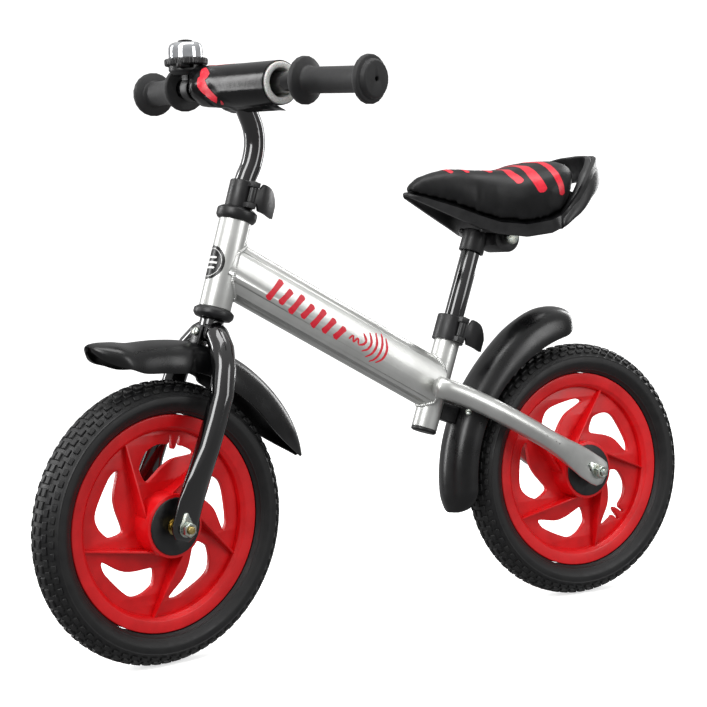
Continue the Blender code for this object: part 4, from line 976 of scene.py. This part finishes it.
def treadBlock(across, radius, tilt, width, length, ahead):
    bpy.ops.object.select_all(action="DESELECT")
    height = tyre["blockHeight"] + tyre["rooted"]
    bpy.ops.mesh.primitive_cube_add(size=1, location=(0, 0, 0))
    block = bpy.context.active_object
    block.dimensions = (height, length, width)
    settle(block)
    edit(block)
    bpy.ops.mesh.select_all(action="DESELECT")
    done()
    for face in block.data.polygons:
        face.select = face.normal.x > 0.9
    bpy.ops.object.mode_set(mode="EDIT")
    bpy.ops.mesh.select_mode(type="FACE")
    bpy.ops.transform.resize(value=(1, 0.86, 0.84))
    done()
    soften(block, 0.00045, 1, 30)
    block.data.transform(Matrix.Translation((tyre["blockHeight"] - height / 2, 0, 0)))
    place = (Matrix.Rotation(ahead * 2 * math.pi / tyre["pitches"], 4, "Z")
             @ Matrix.Translation((radius, 0, across))
             @ Matrix.Rotation(-math.radians(tilt), 4, "Y"))
    block.data.transform(place)
    return block


def makeTread():
    blocks = []
    for across, radius, tilt, width, length, ahead in tyre["rows"]:
        for side in (1, -1):
            blocks.append(treadBlock(side * across, radius, side * tilt, width, length, ahead))
    pitch = joined(blocks, "treadPitch")
    bpy.ops.object.empty_add(location=(0, 0, 0), rotation=(0, 0, 2 * math.pi / tyre["pitches"]))
    step = bpy.context.active_object
    modify(pitch, "ARRAY", count=tyre["pitches"], use_relative_offset=False,
           use_object_offset=True, offset_object=step)
    applyModifiers(pitch)
    bpy.data.objects.remove(step)
    return pitch


half = curved([(r, 0, z) for r, z in tyre["casing"]], 4)
section = [(p.x, p.z) for p in reversed(half)] + [(p.x, -p.z) for p in half[1:]]
casing = spun("casing", section, tyre["segments"])
firstTyre = joined([casing, makeTread()], "tyre")
for end in ("front", "rear"):
    piece = copied(firstTyre, end + "Tyre")
    piece.data.transform(wheels[end])
    finishPiece(piece, end + "Tyre", finish["tyre"], [end + "_tyre"], angle=35)
bpy.data.objects.remove(firstTyre)
print("tyres made")

# wheels
wheel = {
    "radius": 0.113, "halfWidth": 0.0123, "bandInner": 0.1005, "webOuter": 0.0965,
    "halfWeb": 0.003, "hubRadius": 0.033, "hubHalf": 0.0265, "bore": 0.0113,
    "windows": 5, "windowInner": 0.0465, "windowOuter": 0.0825, "sweep": math.radians(57),
    "phase": {"front": math.radians(50), "rear": math.radians(28)},
    "notched": {"front": 1, "rear": 3},  # the window with the two mould notches
    "ribThickness": 0.0022, "ribInner": 0.0235, "ribOuter": 0.0078, "ribCircle": 0.0277,
}


def windowLine(notched):
    tip, base = 0.0, -wheel["sweep"]
    inner, outer = wheel["windowInner"], wheel["windowOuter"]
    mid = (inner + outer) / 2
    start = [(outer - 0.0035, tip), (outer - 0.0005, tip - 0.045), (outer, tip - 0.20)]
    notches = [(outer, -0.25), (outer + 0.0088, -0.265), (outer + 0.0092, -0.285),
               (outer + 0.0086, -0.303), (outer - 0.0030, -0.322), (outer - 0.0052, -0.345),
               (outer - 0.0030, -0.368), (outer + 0.0086, -0.387), (outer + 0.0092, -0.405),
               (outer + 0.0088, -0.425), (outer, -0.44)]
    end = [(outer, tip - 0.60), (outer - 0.0045, tip - 0.79), (mid + 0.0025, base + 0.035),
           (mid - 0.0060, base), (inner + 0.0025, base + 0.025), (inner, base + 0.115),
           (inner + 0.0035, base + 0.29), (mid - 0.0065, base + 0.50), (mid + 0.0015, base + 0.69),
           (outer - 0.0080, tip - 0.065)]
    route = start + (notches if notched else []) + end
    return [(p.x, -p.y) for p in
            curved([(r * math.cos(a), r * math.sin(a), 0) for r, a in route], 5, True)]


def webPlate(end):
    # a filled outline with the windows as holes, rounded along every edge
    curve = bpy.data.curves.new("web", "CURVE")
    curve.dimensions = "2D"
    curve.fill_mode = "BOTH"
    curve.bevel_depth = 0.0007
    curve.bevel_resolution = 2
    curve.extrude = wheel["halfWeb"] - curve.bevel_depth
    lines = [[((wheel["webOuter"] + 0.001) * math.cos(a), (wheel["webOuter"] + 0.001) * math.sin(a))
              for a in (2 * math.pi * i / 96 for i in range(96))]]
    for i in range(wheel["windows"]):
        angle = -(wheel["phase"][end] + i * 2 * math.pi / wheel["windows"])
        c, s = math.cos(angle), math.sin(angle)
        lines.append([(c * x - s * y, s * x + c * y)
                      for x, y in windowLine(i == wheel["notched"][end])])
    for line in lines:
        spline = curve.splines.new("POLY")
        spline.points.add(len(line) - 1)
        for point, (x, y) in zip(spline.points, line):
            point.co = (x, y, 0, 1)
        spline.use_cyclic_u = True
    plate = bpy.data.objects.new("web", curve)
    bpy.context.scene.collection.objects.link(plate)
    pick(plate)
    bpy.ops.object.convert(target="MESH")
    plate = bpy.context.active_object
    edit(plate)
    bpy.ops.mesh.remove_doubles(threshold=1e-6)
    done()
    return plate


def rib(end, i, face):
    bpy.ops.object.select_all(action="DESELECT")
    bpy.ops.mesh.primitive_cube_add(size=1, location=(0, 0, 0))
    piece = bpy.context.active_object
    lag = math.acos(wheel["ribCircle"] / wheel["webOuter"])
    length = wheel["webOuter"] * math.sin(lag) + 0.002
    angle = wheel["phase"][end] + i * 2 * math.pi / wheel["windows"] + math.radians(13) - lag
    for vertex in piece.data.vertices:
        reach = (vertex.co.x + 0.5) * length
        height = (wheel["ribInner"] if reach < length / 2 else wheel["ribOuter"])
        away = wheel["ribCircle"] + vertex.co.y * wheel["ribThickness"]
        up = (vertex.co.z + 0.5) * height
        x = away * math.cos(angle) - reach * math.sin(angle)
        y = away * math.sin(angle) + reach * math.cos(angle)
        vertex.co = (x, -y, face * up)
    edit(piece)
    bpy.ops.mesh.normals_make_consistent(inside=False)
    done()
    soften(piece, 0.0005, 2, 30)
    return piece


def makeRim(end):
    w = wheel
    top = [(w["radius"] - 0.0007, w["halfWidth"]), (w["bandInner"], w["halfWidth"] - 0.0010),
           (w["webOuter"], w["halfWidth"] - 0.0050), (w["webOuter"] - 0.0004, w["halfWeb"] - 0.001)]
    outline = [(w["radius"], 0.0), (w["radius"], w["halfWidth"] - 0.0009)] + top
    outline += [(r, -z) for r, z in reversed(top)] + [(w["radius"], 0.0009 - w["halfWidth"])]
    band = spun("band", outline, 120)
    soften(band, 0.0007, 3, 20)
    h = w["hubHalf"]
    barrel = spun("barrel", [(w["hubRadius"], -h), (w["hubRadius"] + 0.0008, 0),
                             (w["hubRadius"], h), (w["bore"], h), (w["bore"], -h)], 72)
    soften(barrel, 0.0006, 2, 30)
    parts = [band, barrel, webPlate(end)]
    for i in range(w["windows"]):
        parts += [rib(end, i, 1), rib(end, i, -1)]
    return joined(parts, "rim")


for end in ("front", "rear"):
    piece = makeRim(end)
    piece.data.transform(wheels[end])
    finishPiece(piece, end + "Rim", finish["red"], [end + "_rim"], angle=32)
print("rims made")

# saddle stripes
saddle = {
    # each stripe crosses the seat: (behind the post, out to the side, up), then its widths
    "stripes": [
        ([(0.0385, 0.015, 0.0700), (0.0395, 0.006, 0.0730)], (0.0066, 0.0066)),
        ([(0.0180, 0.017, 0.0690), (0.0195, 0.008, 0.0720)], (0.0066, 0.0066)),
        ([(-0.0090, 0.024, 0.0685), (-0.0075, 0.010, 0.0710)], (0.0066, 0.0066)),
        ([(-0.0287, 0.0535, 0.0555), (-0.0272, 0.0465, 0.0615), (-0.0262, 0.035, 0.0667),
          (-0.0300, 0.015, 0.0700)], (0.0095, 0.0100, 0.0088, 0.0050)),
        ([(-0.0475, 0.0690, 0.0440), (-0.0448, 0.0643, 0.0536), (-0.0437, 0.0564, 0.0618),
          (-0.0470, 0.0375, 0.0706), (-0.0540, 0.010, 0.0744)], (0.0108, 0.0115, 0.0105, 0.0060)),
        ([(-0.0692, 0.0735, 0.0400), (-0.0676, 0.0739, 0.0503), (-0.0657, 0.0696, 0.0606),
          (-0.0660, 0.0569, 0.0702), (-0.0698, 0.0353, 0.0771), (-0.0710, 0.012, 0.0784)],
         (0.0076, 0.0080, 0.0074, 0.0052)),
    ],
}
bpy.context.view_layer.update()
stripes = []
for path, widths in saddle["stripes"]:
    left = [seat["origin"] + Vector(p) for p in path]
    rightHalf = [Vector((p.x, -p.y, p.z)) for p in reversed(left)]
    stripes.append((left + rightHalf, widths + tuple(reversed(widths)), 0.35))
finishPiece(printed("stripes", made["saddleCushion"], stripes, 0.00025), "saddleStripes",
            finish["redInk"], [], "saddle", 60)
print("saddle striped")

# camera, floor and light
view = {
    "lens": 89.77, "sensor": 36.0, "place": (1.0021, 1.6571, 0.4276),
    "azimuth": math.radians(149.54), "elevation": math.radians(3.66), "roll": -0.046,
}
a, e, roll = view["azimuth"], view["elevation"], view["roll"]
back = Vector((math.sin(a) * math.cos(e), -math.cos(a) * math.cos(e), math.sin(e)))
right = Vector((math.cos(a), math.sin(a), 0))
up = back.cross(right)
right, up = (math.cos(roll) * right + math.sin(roll) * up,
             math.cos(roll) * up - math.sin(roll) * right)
bpy.ops.object.camera_add()
camera = bpy.context.active_object
camera.data.lens = view["lens"]
camera.data.sensor_width = view["sensor"]
facing = Matrix((right, up, back)).transposed().to_4x4()
camera.matrix_world = Matrix.Translation(view["place"]) @ facing
bpy.context.scene.camera = camera

studio = {"wall": 4.5, "bend": 1.2, "height": 3.4, "glow": 0.62}
outline = [(0, 0)] + [(studio["wall"] - studio["bend"] + studio["bend"] * math.sin(t),
                       studio["bend"] - studio["bend"] * math.cos(t))
                      for t in (math.pi / 2 * k / 12 for k in range(13))]
outline.append((studio["wall"], studio["height"]))
floor = spun("studioFloor", outline, 96, False)
edit(floor)
bpy.ops.mesh.normals_make_consistent(inside=True)
done()
material, tree, shader = newMaterial("matPaleBackdrop")  # seamless matt paper
mottle(tree, shader, "f1f1f0", "f8f8f7", 0.6)
setShader(shader, rough=0.9, specular=0.1)
shader.inputs["Emission Color"].default_value = linear("ffffff")
shader.inputs["Emission Strength"].default_value = studio["glow"]
floor.data.materials.append(material)
smoothShade(floor, 60)
floor.visible_glossy = False  # the paper stays out of the tubes' reflections
floor.visible_diffuse = False


def softbox(name, place, target, size, power, tint=(1, 1, 1)):
    data = bpy.data.lights.new(name, "AREA")
    data.shape = "RECTANGLE"
    data.size, data.size_y = size
    data.energy = power
    data.color = tint
    lamp = bpy.data.objects.new(name, data)
    bpy.context.scene.collection.objects.link(lamp)
    lamp.location = place
    lamp.rotation_euler = (Vector(target) - Vector(place)).to_track_quat("-Z", "Y").to_euler()
    return lamp


softbox("keySoftbox", (1.9, 0.9, 1.5), (0, 0, 0.3), (0.9, 1.6), 34)
softbox("fillSoftbox", (-1.5, 2.4, 1.1), (0, 0, 0.3), (0.9, 1.6), 22)
softbox("topSoftbox", (0.0, 0.3, 2.6), (0, 0, 0.2), (2.2, 1.0), 34)
softbox("backStrip", (1.7, -1.7, 1.0), (0.1, 0, 0.3), (0.35, 1.9), 26)
softbox("rearStrip", (-2.2, -0.9, 1.0), (0, 0, 0.3), (0.45, 1.8), 20)
world = bpy.data.worlds.new("studioWorld")
bpy.context.scene.world = world
world.use_nodes = True
skyTree = world.node_tree
sky = skyTree.nodes["Background"]
where = addNode(skyTree, "ShaderNodeTexCoord")
parts = addNode(skyTree, "ShaderNodeSeparateXYZ", [("Vector", where, "Generated")])
ramp = addNode(skyTree, "ShaderNodeValToRGB", [("Fac", parts, "Z")])
ramp.color_ramp.elements[0].position = 0.0
ramp.color_ramp.elements[0].color = (0.42, 0.42, 0.425, 1)
ramp.color_ramp.elements[1].position = 0.9
ramp.color_ramp.elements[1].color = (1, 1, 1, 1)
skyTree.links.new(ramp.outputs["Color"], sky.inputs["Color"])
sky.inputs["Strength"].default_value = 0.75
bpy.context.scene.view_settings.view_transform = "Standard"
print("studio set")

bpy.context.view_layer.update()
